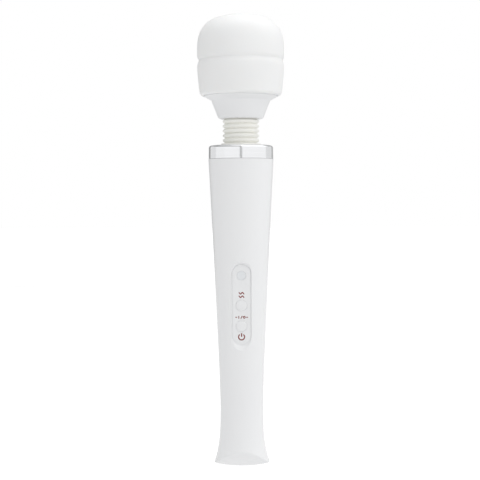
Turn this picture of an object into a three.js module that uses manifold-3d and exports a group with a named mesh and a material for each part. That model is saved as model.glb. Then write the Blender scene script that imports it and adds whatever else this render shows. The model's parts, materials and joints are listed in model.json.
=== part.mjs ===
// Cordless handheld wand massager, standing upright on its tail.
// Millimetres, +Z up along the handle, buttons facing -Y, origin on the tail's small flat.
import * as THREE from 'three';
import { mergeVertices } from 'three/addons/utils/BufferGeometryUtils.js';
import Module from 'manifold-3d';

const wasm = await Module();
wasm.setup();

// ---------- Driving dimensions ----------

const GAP = 0.3; // air left between neighbouring pieces
const FINE = 24; // facets round a large turned piece
const MEDIUM = 16;
const COARSE = 8;
const SCREW_HEAD_HEIGHT = 1.1; // of the small screws

// Handle: a waisted, flared grip made of a front and a rear half shell.
const WALL = 2.2;
const WAIST_Z = 46.4;
const WAIST_RADIUS = 15.3;
const TAIL_RADIUS = 19.5;
const TAIL_RIM_Z = 3;
const SHELL_TOP_Z = 218.5;
const SHOULDER_RADIUS = 23.1;
const FLARE_POWER = 3.6;
const TAPER_POWER = 1.17;

// Tail end: an elliptic bowl, z = END_CURVE_X x^2 + END_CURVE_Y y^2 - END_FLAT_DEPTH, with a flat tip.
const END_CURVE_X = 0.008;
const END_CURVE_Y = 0.0438;
const END_FLAT_DEPTH = 0.5;
const END_CAP_THICKNESS = 2.6;
const CHARGE_PIN_SPACING = 8;
const CHARGE_PIN_RADIUS = 1.2;
const CHARGE_PIN_TOP = 4.2;
const CHARGE_BOARD_BOTTOM = CHARGE_PIN_TOP + GAP;

// Battery: two round cells end to end in a trough behind the circuit board.
const CELL_RADIUS = 9.1;
const CELL_LENGTH = 65;
const CELL_CRIMP = 0.8;
const CELL_Y = 2.3;
const CELL_BOTTOM_Z = 15.8;
const CELL_SPACING = 67;
const TROUGH_WALL = 0.8;
const TROUGH_FRONT_Y = -3.5;
const TROUGH_BOTTOM_Z = 13.3;
const TROUGH_TOP_Z = 150.3;
const TROUGH_END_WALL = 1.5;

// Control panel: a racetrack recess in the front shell, lying along the handle's tapering surface.
const PANEL_Z = 115.55;
const PANEL_HALF_LENGTH = 31.55;
const PANEL_HALF_WIDTH = 7;
const PANEL_DEPTH = 1.9;
const INSERT_HALF_LENGTH = 28.1;
const INSERT_SHIFT = 1.05;
const INSERT_THICKNESS = 1.5;
const RECESS_FLOOR = 1.2;
const RECESS_WALL = 1.6;
const BUTTON_RADIUS = 4;
const BUTTON_FLANGE_RADIUS = 4.7;
const BUTTON_CROWN = 0.8;
const BUTTON_STEM_END = -3.6;
const BUTTON_STEM_RADIUS = 1.2;
const MODE_BUTTON_Z = 116;
const POWER_BUTTON_Z = 101.4;
const LAMP_Z = 137;
const LENS_RADIUS = 3.2;
const LENS_TOP = -0.2;
const LAMP_WINDOW_RADIUS = 2.2;
const BOARD_FRONT = -6.2;
const BOARD_THICKNESS = 1;
const BOARD_HALF_LENGTH = 36.5;
const BOARD_HALF_WIDTH = 6.5;
const BOARD_SCREW_X = 4.7;
const BOARD_SCREW_Y = 34;
const BOARD_SCREW_RADIUS = 0.8;
const BOARD_SCREW_HEAD_RADIUS = 1.6;
const BOARD_SCREW_TIP = -3.6;
const BOARD_BOSS_RADIUS = 2.4;
const SWITCH_SIZE = 6;
const SWITCH_TOP = -4.7;

// Motor in the top of the handle.
const MOTOR_RADIUS = 14;
const MOTOR_BOTTOM_Z = 163;
const MOTOR_TOP_Z = 201;
const MOTOR_SHAFT_RADIUS = 1.6;
const MOTOR_BORE = 12.6;
const MOTOR_SHELL = 2; // thickness of the can's end
const MOTOR_BOSS_RADIUS = 5;
const MOTOR_BOSS_HEIGHT = 2;
const MOTOR_SCREW_SPREAD = 8;
const MOTOR_SCREW_RADIUS = 1.4;
const MOTOR_PLATE_THICKNESS = 3;
const END_BELL_HEIGHT = 3;
const MAGNET_INNER_RADIUS = 10.3;
const MAGNET_LENGTH = 28;
const ARMATURE_RADIUS = 9.6;
const LEDGE_RADIUS = 17.6;
const LEDGE_HEIGHT = 3.5;
const LEAD_RADIUS = 0.6;

// Collar and neck.
const RING_BOTTOM_Z = SHELL_TOP_Z + GAP;
const RING_TOP_Z = 228.2;
const RING_STEP = 0.2; // how far the ring lies inside the shells' skin
const RING_INNER_RADIUS = 21.6;
const RING_LIP_RADIUS = 19.6;
const RING_LIP_THICKNESS = 1.2;
const RING_FILLET = 1.7;
const SKIRT_BOTTOM_Z = 212;
const SKIRT_WALL = 1.9;
const COVER_WEB = 2.2;
const COVER_SOCKET_DEPTH = 6.3;
const DRIVE_HOLE_RADIUS = 7;
const NECK_Z = 228;
const NECK_LENGTH = 19.1;
const RIB_COUNT = 5;
const RIB_PITCH = 3.35;
const FIRST_RIB = 3.8;
const RIB_ROOT_RADIUS = 11.5;
const RIB_HEIGHT = 1.45;
const BOOT_BORE = 10.4;
const BOOT_FLANGE_RADIUS = 14.3;
const BOOT_FLANGE_TOP = 1.7;
const BOOT_SPIGOT_RADIUS = 11.9;
const BOOT_LOWER_SPIGOT = 5.2;
const BOOT_UPPER_SPIGOT = 4.2;
const SPRING_RADIUS = 8.8;
const SPRING_WIRE_RADIUS = 0.9;
const SPRING_AIR = 0.5; // left at each end of the spring
const SEAT_THICKNESS = 2;
const LOWER_SEAT = -6;
const UPPER_SEAT = 4.1;
const DRIVE_HUB_RADIUS = 4;

// Head: heights are measured from the bottom of its lower housing.
const HEAD_Z = NECK_Z + NECK_LENGTH;
const CONE_CORNER = 2;
const CONE_FOOT_RADIUS = 15.7;
const CONE_TOP_RADIUS = 20.75;
const CONE_TOP = 13;
const LIP_FOOT_RADIUS = 22.9;
const LIP_FOOT = 14.2;
const LIP_RADIUS = 25.4;
const LIP_BOTTOM = 15.8;
const LIP_TOP = 16.6;
const UPSTAND_RADIUS = 26;
const UPSTAND_BORE = 24;
const UPSTAND_TOP = 25.6;
const PLATE_SHELF = 21.6;
const HOUSING_BORE = 20.5;
const HOUSING_FLOOR_RADIUS = 15.5;
const HOUSING_FLOOR = 8.2;
const HEAD_SOCKET_DEPTH = 6.4;
const CAP_BOTTOM = 17;
const CAP_WALL = 3.3;
const CAP_SKIRT_BORE = 26.3;
const CAP_CORNER = 3.5;
const CAP_MAX_RADIUS = 30.8;
const CAP_MAX_HEIGHT = 46.4;
const CAP_TOP = 72.9;
const DOME_HEIGHT = CAP_TOP - CAP_MAX_HEIGHT;
const SIDE_TAPER = 1.4;
const SIDE_TAPER_HEIGHT = 17;
const SIDE_TAPER_TOP = 37.8;
const GROOVE_HEIGHT = 41.2;
const GROOVE_DEPTH = 0.95;
const GROOVE_SPREAD = 2.4;
const DOME_SKIN = 3.8; // the rigid dome's outside, measured in from the cap's
const DOME_INNER = 5.8;
const DOME_BOTTOM = 25.9;
const BEARING_POST_RADIUS = 11.8;
const PLATE_SCREW_SPREAD = 22.1;
const PLATE_SCREW_RADIUS = 0.9;
const PLATE_SCREW_HEAD_RADIUS = 1.6;
const PLATE_SCREW_HOLE_RADIUS = 1.2;
const PLATE_SCREW_TIP = 18;
const BEARING_WIDTH = 6;
const BEARING_RADIUS = 9.5;
const DRIVEN_SHAFT_RADIUS = 3;
const DRIVEN_SHAFT_BOTTOM = 4.6;
const DRIVEN_SHAFT_TOP = 64.1;
const LOWER_BEARING = 17.2;
const UPPER_BEARING = 55.6;
const SPACER_RADIUS = 4.8;
const WEIGHT_RADIUS = 17;
const WEIGHT_HUB_RADIUS = 6.5;
const WEIGHT_BOTTOM = 29.6;
const WEIGHT_HEIGHT = 18;

// ---------- Geometry helpers ----------

// Joins shared vertices and drops the triangles that collapse to a line on a turning axis.
function welded(geometry) {
  const bare = geometry.clone();
  bare.deleteAttribute('normal');
  bare.deleteAttribute('uv');
  const joined = mergeVertices(bare, 1e-5);
  const corners = joined.index.array;
  const kept = [];
  for (let i = 0; i < corners.length; i += 3) {
    const [a, b, c] = corners.slice(i, i + 3);
    if (a !== b && b !== c && c !== a) kept.push(a, b, c);
  }
  joined.setIndex(kept);
  return joined;
}

function toSolid(geometry) {
  const { index, attributes } = welded(geometry);
  const triVerts = Uint32Array.from(index.array);
  const vertProperties = Float32Array.from(attributes.position.array);
  return new wasm.Manifold(new wasm.Mesh({ numProp: 3, vertProperties, triVerts }));
}

function toGeometry(solid) {
  const { vertProperties, triVerts } = solid.getMesh();
  const geometry = new THREE.BufferGeometry();
  geometry.setAttribute('position', new THREE.BufferAttribute(vertProperties, 3));
  geometry.setIndex(new THREE.BufferAttribute(triVerts, 1));
  return geometry;
}

// The base with the added geometries joined on, kept only inside the keep ones, less the cut ones.
function shaped(base, { add = [], cut = [], keep = [] }) {
  let solid = toSolid(base);
  for (const piece of add) solid = solid.add(toSolid(piece));
  for (const piece of keep) solid = solid.intersect(toSolid(piece));
  for (const piece of cut) solid = solid.subtract(toSolid(piece));
  return toGeometry(solid);
}

// A [radius, height] profile turned about Z: up the outside, so that its faces point out.
function turned(profile, facets = MEDIUM) {
  const points = profile.map(([radius, height]) => new THREE.Vector2(radius, height));
  return new THREE.LatheGeometry(points, facets).rotateX(Math.PI / 2);
}

function disc(radius, bottom, top, facets = COARSE) {
  return turned([[0, bottom], [radius, bottom], [radius, top], [0, top]], facets);
}

function washer(inner, outer, bottom, top, facets = MEDIUM) {
  const corners = [[inner, bottom], [outer, bottom], [outer, top], [inner, top], [inner, bottom]];
  return turned(corners, facets);
}

function box(width, depth, bottom, top, x = 0, y = 0) {
  return new THREE.BoxGeometry(width, depth, top - bottom).translate(x, y, (bottom + top) / 2);
}

// Points on an arc of a profile, from one angle to another in degrees.
function arc(radius, height, size, from, to, count) {
  return steps(from, to, count).map((degrees) => {
    const angle = THREE.MathUtils.degToRad(degrees);
    return [radius + size * Math.cos(angle), height + size * Math.sin(angle)];
  });
}

// Values spaced evenly from one to another, both included.
function steps(from, to, count) {
  return Array.from({ length: count + 1 }, (_, i) => from + ((to - from) * i) / count);
}

// A flat shape with straight sides along Y and half-round ends, extruded from bottom to top.
function racetrack(halfWidth, halfLength, bottom, top, shift = 0) {
  const straight = halfLength - halfWidth;
  const outline = new THREE.Shape();
  outline.absarc(0, shift + straight, halfWidth, 0, Math.PI);
  outline.absarc(0, shift - straight, halfWidth, Math.PI, 2 * Math.PI);
  const options = { depth: top - bottom, bevelEnabled: false, curveSegments: 5 };
  return new THREE.ExtrudeGeometry(outline, options).translate(0, 0, bottom);
}

// A round wire swept along a curve.
function wire(path, radius, sides, stepCount) {
  const section = new THREE.Shape();
  for (let i = 0; i < sides; i += 1) {
    const angle = (2 * Math.PI * i) / sides;
    const [x, y] = [radius * Math.cos(angle), radius * Math.sin(angle)];
    if (i === 0) section.moveTo(x, y);
    else section.lineTo(x, y);
  }
  section.closePath();
  return new THREE.ExtrudeGeometry(section, { steps: stepCount, extrudePath: path });
}

class Helix extends THREE.Curve {
  constructor(radius, bottom, top, turns) {
    super();
    Object.assign(this, { radius, bottom, top, turns });
  }

  getPoint(t, target = new THREE.Vector3()) {
    const angle = 2 * Math.PI * this.turns * t;
    const height = this.bottom + (this.top - this.bottom) * t;
    return target.set(this.radius * Math.cos(angle), this.radius * Math.sin(angle), height);
  }
}

// ---------- Materials ----------

const FINISHES = {
  whitePlastic: { color: 0xf2f4f6, roughness: 0.28, metalness: 0 },
  whiteSatin: { color: 0xeef0f2, roughness: 0.5, metalness: 0 },
  whiteSilicone: { color: 0xf4f5f4, roughness: 0.75, metalness: 0 },
  ivoryRubber: { color: 0xe9e8df, roughness: 0.6, metalness: 0 },
  chrome: { color: 0xd9dce0, roughness: 0.18, metalness: 1 },
  steel: { color: 0xa9adb1, roughness: 0.35, metalness: 1 },
  castSteel: { color: 0x77797c, roughness: 0.6, metalness: 0.8 },
  brass: { color: 0xd8b25a, roughness: 0.3, metalness: 1 },
  magnet: { color: 0x4a4a4e, roughness: 0.6, metalness: 0.4 },
  blackNylon: { color: 0x1d1e20, roughness: 0.6, metalness: 0 },
  greyNylon: { color: 0x8c9093, roughness: 0.6, metalness: 0 },
  blackRubber: { color: 0x242424, roughness: 0.85, metalness: 0 },
  cellWrap: { color: 0x3c6e9e, roughness: 0.4, metalness: 0 },
  circuitGreen: { color: 0x2e6a45, roughness: 0.55, metalness: 0 },
  copper: { color: 0xb0683a, roughness: 0.4, metalness: 1 },
  frostedLens: { color: 0xdfe4e8, roughness: 0.35, metalness: 0 },
  ledAmber: { color: 0xe8c98a, roughness: 0.3, metalness: 0 },
  redInsulation: { color: 0xa82a22, roughness: 0.6, metalness: 0 },
  blackInsulation: { color: 0x202022, roughness: 0.6, metalness: 0 },
};

function piece(name, finish, geometry) {
  const clean = welded(geometry);
  clean.computeVertexNormals();
  const mesh = new THREE.Mesh(clean, new THREE.MeshStandardMaterial(FINISHES[finish]));
  mesh.name = name;
  return mesh;
}

// ---------- Handle shells and tail ----------

function handleRadius(z) {
  if (z < WAIST_Z) {
    const flare = (WAIST_Z - z) / (WAIST_Z - TAIL_RIM_Z);
    return WAIST_RADIUS + (TAIL_RADIUS - WAIST_RADIUS) * flare ** FLARE_POWER;
  }
  const rise = (z - WAIST_Z) / (SHELL_TOP_Z - WAIST_Z);
  return WAIST_RADIUS + (SHOULDER_RADIUS - WAIST_RADIUS) * rise ** TAPER_POWER;
}

// The handle's own form, drawn in from its outer skin by an inset.
function handleForm(inset, bottom, top) {
  const flareSteps = steps(bottom, Math.min(WAIST_Z, top), 7);
  const taperSteps = top > WAIST_Z ? steps(WAIST_Z, top, 5).slice(1) : [];
  const skin = [...flareSteps, ...taperSteps].map((z) => [handleRadius(z) - inset, z]);
  return turned([[0, bottom], ...skin, [0, top]], FINE);
}

// Everything above the rounded end face, raised by a lift.
function aboveEndBowl(lift) {
  const tallest = 240;
  const flat = Math.sqrt(END_FLAT_DEPTH);
  const widest = 5.2;
  const wall = steps(flat, widest, 7).map((s) => [s, s * s - END_FLAT_DEPTH]);
  return turned([[0, 0], ...wall, [widest, tallest], [0, tallest]], FINE)
    .scale(1 / Math.sqrt(END_CURVE_X), 1 / Math.sqrt(END_CURVE_Y), 1)
    .translate(0, 0, lift);
}

// A ledge inside both shells that carries the motor plate.
function motorLedge() {
  const bottom = MOTOR_TOP_Z - LEDGE_HEIGHT;
  return washer(LEDGE_RADIUS, handleRadius(bottom) - WALL / 2, bottom, MOTOR_TOP_Z, FINE);
}

// A block that covers everything in front of the split (side -1) or behind it (side 1).
function halfSpace(side) {
  const reach = 60;
  const margin = 10;
  return box(reach, reach, -margin, SHELL_TOP_Z + margin, 0, (side * (reach + GAP)) / 2);
}

function hollowHandle() {
  const below = -1;
  const hollow = handleForm(WALL, below, SHELL_TOP_Z + 1);
  return shaped(handleForm(0, below, SHELL_TOP_Z), { cut: [hollow], keep: [aboveEndBowl(0)] });
}

function rearShell() {
  return piece('handle_rear_shell', 'whitePlastic', shaped(hollowHandle(), {
    add: [motorLedge()],
    keep: [halfSpace(1)],
  }));
}

// The front half carries the recessed tray of the control panel and the bosses of the circuit board.
function frontShell(panelPlace) {
  const onPanel = (geometry) => geometry.applyMatrix4(panelPlace);
  const floorTop = -INSERT_THICKNESS - GAP;
  const floorBottom = floorTop - RECESS_FLOOR;
  const outside = 10;
  const tray = racetrack(
    PANEL_HALF_WIDTH + RECESS_WALL, PANEL_HALF_LENGTH + RECESS_WALL, floorBottom, outside);
  const bosses = atBoardScrews(() => disc(BOARD_BOSS_RADIUS, BOARD_FRONT + GAP, outside));
  const pilots = atBoardScrews(() =>
    disc(BOARD_SCREW_RADIUS + GAP, BOARD_FRONT, BOARD_SCREW_TIP + GAP));
  const insertPocket = racetrack(
    PANEL_HALF_WIDTH, INSERT_HALF_LENGTH + GAP, floorTop, outside, INSERT_SHIFT);
  const recess = racetrack(PANEL_HALF_WIDTH, PANEL_HALF_LENGTH, 0, outside);
  const windows = [
    [MODE_BUTTON_Z, BUTTON_FLANGE_RADIUS + GAP, MEDIUM],
    [POWER_BUTTON_Z, BUTTON_FLANGE_RADIUS + GAP, MEDIUM],
    [LAMP_Z, LAMP_WINDOW_RADIUS, COARSE],
  ].map(([z, radius, facets]) => disc(radius, floorBottom - 1, 0, facets).translate(0, alongPanel(z), 0));
  const solid = shaped(hollowHandle(), { add: [motorLedge(), ...[tray, ...bosses].map(onPanel)] });
  return piece('handle_front_shell', 'whitePlastic', shaped(solid, {
    keep: [handleForm(0, -1, SHELL_TOP_Z), halfSpace(-1)],
    cut: [recess, insertPocket, ...windows, ...pilots].map(onPanel),
  }));
}

function endCap() {
  const above = 20;
  const plug = handleForm(WALL + GAP, -1, above);
  const pinHoles = [-1, 1].map((side) =>
    disc(CHARGE_PIN_RADIUS + GAP, -1, above).translate((side * CHARGE_PIN_SPACING) / 2, 0, 0));
  return piece('end_cap', 'whitePlastic', shaped(plug, {
    keep: [aboveEndBowl(0)],
    cut: [aboveEndBowl(END_CAP_THICKNESS), ...pinHoles],
  }));
}

function chargingContacts() {
  const pins = [['charge_pin_left', -1], ['charge_pin_right', 1]].map(([name, side]) => {
    const pin = piece(name, 'brass', disc(CHARGE_PIN_RADIUS, 0.1, CHARGE_PIN_TOP));
    pin.position.x = (side * CHARGE_PIN_SPACING) / 2;
    return pin;
  });
  const [width, depth, thickness] = [16, 8, 1];
  const board = box(width, depth, CHARGE_BOARD_BOTTOM, CHARGE_BOARD_BOTTOM + thickness);
  const magnetRadius = 2;
  return [
    ...pins,
    piece('charge_magnet', 'magnet', disc(magnetRadius, END_CAP_THICKNESS + GAP, CHARGE_PIN_TOP)),
    piece('charge_board', 'circuitGreen', board),
  ];
}

// ---------- Battery ----------

// The trough's section: a half round round the cells' back with straight sides towards the front.
function troughSection(radius) {
  const section = new THREE.Shape();
  section.moveTo(radius, TROUGH_FRONT_Y);
  section.lineTo(radius, CELL_Y);
  section.absarc(0, CELL_Y, radius, 0, Math.PI);
  section.lineTo(-radius, TROUGH_FRONT_Y);
  section.closePath();
  return section;
}

function troughBlock(radius, bottom, top) {
  const options = { depth: top - bottom, bevelEnabled: false, curveSegments: 6 };
  return new THREE.ExtrudeGeometry(troughSection(radius), options).translate(0, 0, bottom);
}

function batteryCradle() {
  const inner = CELL_RADIUS + GAP;
  const hollowSpan = [TROUGH_BOTTOM_Z + TROUGH_END_WALL, TROUGH_TOP_Z - TROUGH_END_WALL];
  const mouthDepth = 2;
  const outer = troughBlock(inner + TROUGH_WALL, TROUGH_BOTTOM_Z, TROUGH_TOP_Z);
  return piece('battery_cradle', 'blackNylon', shaped(outer, {
    cut: [troughBlock(inner, ...hollowSpan), box(2 * inner, mouthDepth, ...hollowSpan, 0, TROUGH_FRONT_Y)],
  }));
}

// A round cell with a crimped can and a raised contact on its upper end.
function batteryCells() {
  const contactRadius = 3;
  const contactHeight = 1;
  const shoulder = CELL_LENGTH - contactHeight;
  return ['battery_cell_lower', 'battery_cell_upper'].map((name, i) => {
    const cell = piece(name, 'cellWrap', turned([
      [0, 0], [CELL_RADIUS - CELL_CRIMP, 0], [CELL_RADIUS, CELL_CRIMP], [CELL_RADIUS, shoulder - 1],
      [CELL_RADIUS - CELL_CRIMP, shoulder], [contactRadius, shoulder], [contactRadius, CELL_LENGTH],
      [0, CELL_LENGTH],
    ]));
    cell.position.set(0, CELL_Y, CELL_BOTTOM_Z + i * CELL_SPACING);
    return cell;
  });
}

// ---------- Control panel ----------

// Local frame of the panel: X across, Y up the handle, Z out of the panel's face.
const PANEL_TILT = Math.atan2(
  handleRadius(PANEL_Z + PANEL_HALF_LENGTH) - handleRadius(PANEL_Z - PANEL_HALF_LENGTH),
  2 * PANEL_HALF_LENGTH);

function alongPanel(z) {
  return (z - PANEL_Z) / Math.cos(PANEL_TILT);
}

function boardScrewPlaces() {
  return [[BOARD_SCREW_X, -BOARD_SCREW_Y], [-BOARD_SCREW_X, BOARD_SCREW_Y]];
}

// One geometry of the kind that is made, at each screw of the circuit board.
function atBoardScrews(make) {
  return boardScrewPlaces().map(([x, y]) => make().translate(x, y, 0));
}

function buttonPanel() {
  const plate = racetrack(
    PANEL_HALF_WIDTH - GAP, INSERT_HALF_LENGTH, -INSERT_THICKNESS, 0, INSERT_SHIFT);
  const holes = [[MODE_BUTTON_Z, BUTTON_RADIUS], [POWER_BUTTON_Z, BUTTON_RADIUS], [LAMP_Z, LENS_RADIUS]]
    .map(([z, radius]) => disc(radius + GAP, -3, 3, MEDIUM).translate(0, alongPanel(z), 0));
  return piece('button_panel', 'whiteSatin', shaped(plate, { cut: holes }));
}

function indicator() {
  const ledSize = 3;
  const ledBottom = BOARD_FRONT + GAP;
  const parts = [
    piece('indicator_lens', 'frostedLens', disc(LENS_RADIUS, -INSERT_THICKNESS, LENS_TOP, MEDIUM)),
    piece('indicator_led', 'ledAmber', box(ledSize, ledSize, ledBottom, ledBottom + 1.3)),
  ];
  for (const part of parts) part.position.y = alongPanel(LAMP_Z);
  return parts;
}

// A domed button with a hidden flange and a stem, over its own small push switch.
function buttonSet(name, z) {
  const flangeTop = -INSERT_THICKNESS - GAP;
  const flangeBottom = flangeTop - 1;
  const crown = [[BUTTON_RADIUS - 0.3, 0.2], [2.4, 0.6], [0, BUTTON_CROWN]];
  const button = piece(`${name}_button`, 'whiteSatin', turned([
    [0, BUTTON_STEM_END], [BUTTON_STEM_RADIUS, BUTTON_STEM_END], [BUTTON_STEM_RADIUS, flangeBottom],
    [BUTTON_FLANGE_RADIUS, flangeBottom], [BUTTON_FLANGE_RADIUS, flangeTop], [BUTTON_RADIUS, flangeTop],
    [BUTTON_RADIUS, 0], ...crown,
  ]));
  const plungerRadius = 1;
  const plungerTop = BUTTON_STEM_END - GAP;
  const plungerForm = disc(plungerRadius, plungerTop - 1.5, plungerTop);
  const plunger = piece(`${name}_switch_plunger`, 'blackNylon', plungerForm);
  const body = piece(`${name}_switch`, 'greyNylon', shaped(
    box(SWITCH_SIZE, SWITCH_SIZE, BOARD_FRONT + GAP, SWITCH_TOP),
    { cut: [disc(plungerRadius + GAP, BOARD_FRONT, 0)] }));
  const set = [button, plunger, body];
  for (const part of set) part.position.y = alongPanel(z);
  return set;
}

function circuitBoard() {
  const back = BOARD_FRONT - BOARD_THICKNESS;
  const plate = box(2 * BOARD_HALF_WIDTH, 2 * BOARD_HALF_LENGTH, back, BOARD_FRONT);
  const holes = atBoardScrews(() => disc(BOARD_SCREW_RADIUS + GAP, back - 1, 0));
  const headTop = back - GAP;
  const headBottom = headTop - SCREW_HEAD_HEIGHT;
  const screws = ['board_screw_lower', 'board_screw_upper'].map((name, i) => {
    const screw = piece(name, 'steel', turned([
      [0, headBottom], [BOARD_SCREW_HEAD_RADIUS, headBottom], [BOARD_SCREW_HEAD_RADIUS, headTop],
      [BOARD_SCREW_RADIUS, headTop], [BOARD_SCREW_RADIUS, BOARD_SCREW_TIP], [0, BOARD_SCREW_TIP],
    ], COARSE));
    const [x, y] = boardScrewPlaces()[i];
    screw.position.set(x, y, 0);
    return screw;
  });
  return [piece('circuit_board', 'circuitGreen', shaped(plate, { cut: holes })), ...screws];
}

function controlPanel() {
  const panel = new THREE.Group();
  panel.position.set(0, PANEL_DEPTH - handleRadius(PANEL_Z), PANEL_Z);
  panel.rotation.x = Math.PI / 2 + PANEL_TILT;
  panel.add(
    buttonPanel(), ...indicator(), ...buttonSet('mode', MODE_BUTTON_Z),
    ...buttonSet('power', POWER_BUTTON_Z), ...circuitBoard());
  panel.updateMatrix();
  return panel;
}

// ---------- Motor ----------

function motorScrewHoles(bottom, top) {
  return [-1, 1].map((side) =>
    disc(MOTOR_SCREW_RADIUS + GAP, bottom, top).translate(side * MOTOR_SCREW_SPREAD, 0, 0));
}

function motorCan() {
  const shaftHole = 2;
  const insideTop = MOTOR_TOP_Z - MOTOR_SHELL;
  const bossTop = MOTOR_TOP_Z + MOTOR_BOSS_HEIGHT;
  const can = turned([
    [MOTOR_BORE, MOTOR_BOTTOM_Z], [MOTOR_RADIUS, MOTOR_BOTTOM_Z], [MOTOR_RADIUS, MOTOR_TOP_Z],
    [MOTOR_BOSS_RADIUS, MOTOR_TOP_Z], [MOTOR_BOSS_RADIUS, bossTop], [shaftHole, bossTop],
    [shaftHole, insideTop], [MOTOR_BORE, insideTop], [MOTOR_BORE, MOTOR_BOTTOM_Z],
  ]);
  const holes = motorScrewHoles(insideTop - 1, MOTOR_TOP_Z + 1);
  return piece('motor_can', 'steel', shaped(can, { cut: holes }));
}

function motorMagnets() {
  const halfAngle = THREE.MathUtils.degToRad(60);
  const glueLine = 0.5;
  const aboveBell = 5;
  return [['motor_magnet_left', Math.PI], ['motor_magnet_right', 0]].map(([name, turn]) => {
    const section = new THREE.Shape();
    section.absarc(0, 0, MOTOR_BORE - glueLine, -halfAngle, halfAngle, false);
    section.absarc(0, 0, MAGNET_INNER_RADIUS, halfAngle, -halfAngle, true);
    section.closePath();
    const options = { depth: MAGNET_LENGTH, bevelEnabled: false, curveSegments: 5 };
    const magnet = piece(name, 'magnet', new THREE.ExtrudeGeometry(section, options));
    magnet.rotation.z = turn;
    magnet.position.z = MOTOR_BOTTOM_Z + aboveBell;
    return magnet;
  });
}

// The turning part of the motor, with the lower hub and the sprung coupling that drives the head.
function motorRotor() {
  const [shaftBottom, shaftTop] = [158.5, 213.5];
  const [hubBottom, hubTop] = [208.5, 221.5];
  const [armatureBottom, armatureTop] = [170, 194];
  const bore = MOTOR_SHAFT_RADIUS + GAP;
  const shaft = piece('motor_shaft', 'steel', disc(MOTOR_SHAFT_RADIUS, shaftBottom, shaftTop));
  const armature = piece('motor_armature', 'copper',
    washer(bore, ARMATURE_RADIUS, armatureBottom, armatureTop));
  const hub = piece('coupling_hub_lower', 'castSteel', turned([
    [bore, hubBottom], [DRIVE_HUB_RADIUS, hubBottom], [DRIVE_HUB_RADIUS, hubTop], [0, hubTop],
    [0, shaftTop + GAP], [bore, shaftTop + GAP], [bore, hubBottom],
  ], COARSE));
  const wireRadius = 0.5;
  const clear = wireRadius + 0.4;
  const turns = 7;
  const coil = new Helix(DRIVE_HUB_RADIUS - 0.8, hubTop + clear, HEAD_Z - clear, turns);
  const spring = piece('drive_spring', 'steel', wire(coil, wireRadius, 4, 8 * turns));
  return [shaft, armature, hub, spring];
}

function motorMounting() {
  const bell = washer(2, MOTOR_RADIUS, MOTOR_BOTTOM_Z - END_BELL_HEIGHT, MOTOR_BOTTOM_Z - GAP);
  const plateBottom = MOTOR_TOP_Z + GAP;
  const plateTop = plateBottom + MOTOR_PLATE_THICKNESS;
  const insideShell = (z) => handleRadius(z) - WALL - GAP;
  const plate = washer(MOTOR_BOSS_RADIUS + GAP, insideShell(plateBottom), plateBottom, plateTop, FINE);
  const plateHoles = motorScrewHoles(plateBottom - 1, plateTop + 1);
  const grommets = [['motor_grommet_rear', 166, 172], ['motor_grommet_front', 186, 194]];
  const [headRadius, headHeight, tip] = [2.7, 1.6, MOTOR_TOP_Z - 2.4];
  const seat = plateTop + GAP;
  const screws = ['motor_screw_left', 'motor_screw_right'].map((name, i) => {
    const screw = piece(name, 'steel', turned([
      [0, tip], [MOTOR_SCREW_RADIUS, tip], [MOTOR_SCREW_RADIUS, seat], [headRadius, seat],
      [headRadius, seat + headHeight], [0, seat + headHeight],
    ], COARSE));
    screw.position.x = (2 * i - 1) * MOTOR_SCREW_SPREAD;
    return screw;
  });
  return [
    piece('motor_end_bell', 'blackNylon', bell),
    piece('motor_plate', 'greyNylon', shaped(plate, { cut: plateHoles })),
    ...grommets.map(([name, bottom, top]) => piece(name, 'blackRubber',
      washer(MOTOR_RADIUS + GAP, insideShell(bottom), bottom, top))),
    ...screws,
  ];
}

// Insulated wires: from the motor to the board's upper end, and from the tail contacts to its lower end.
function leads() {
  const point = (x, y, z) => new THREE.Vector3(x, y, z);
  const toMotor = (x) => [
    point(x, -4, MOTOR_BOTTOM_Z - END_BELL_HEIGHT - LEAD_RADIUS), point(x, -7, 157),
    point(x, -9, 153), point(x, -9.5, 147)];
  const toTail = (side) => [
    point(side * 5, 0, 6.3), point(side * 10, -1, 9), point(side * 12, -2, 17),
    point(side * 11.6, -2, 50), point(side * 11.4, -5.2, 70), point(side * 8.6, -7, 80),
    point(side * 6.4, -6.6, 86)];
  const runs = [
    ['motor_lead_black', 'blackInsulation', toMotor(1.4), 7],
    ['motor_lead_red', 'redInsulation', toMotor(4.6), 7],
    ['charge_lead_black', 'blackInsulation', toTail(-1), 14],
    ['charge_lead_red', 'redInsulation', toTail(1), 14],
  ];
  return runs.map(([name, finish, points, stepCount]) =>
    piece(name, finish, wire(new THREE.CatmullRomCurve3(points), LEAD_RADIUS, 5, stepCount)));
}

// ---------- Collar and neck ----------

function collarRing() {
  const skin = SHOULDER_RADIUS - RING_STEP;
  const fillet = arc(skin - RING_FILLET, RING_TOP_Z - RING_FILLET, RING_FILLET, 0, 90, 4);
  const lipBottom = RING_TOP_Z - RING_LIP_THICKNESS;
  return piece('collar_ring', 'chrome', turned([
    [RING_INNER_RADIUS, RING_BOTTOM_Z], [skin, RING_BOTTOM_Z], ...fillet, [RING_LIP_RADIUS, RING_TOP_Z],
    [RING_LIP_RADIUS, lipBottom], [RING_INNER_RADIUS, lipBottom], [RING_INNER_RADIUS, RING_BOTTOM_Z],
  ], FINE));
}

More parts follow.
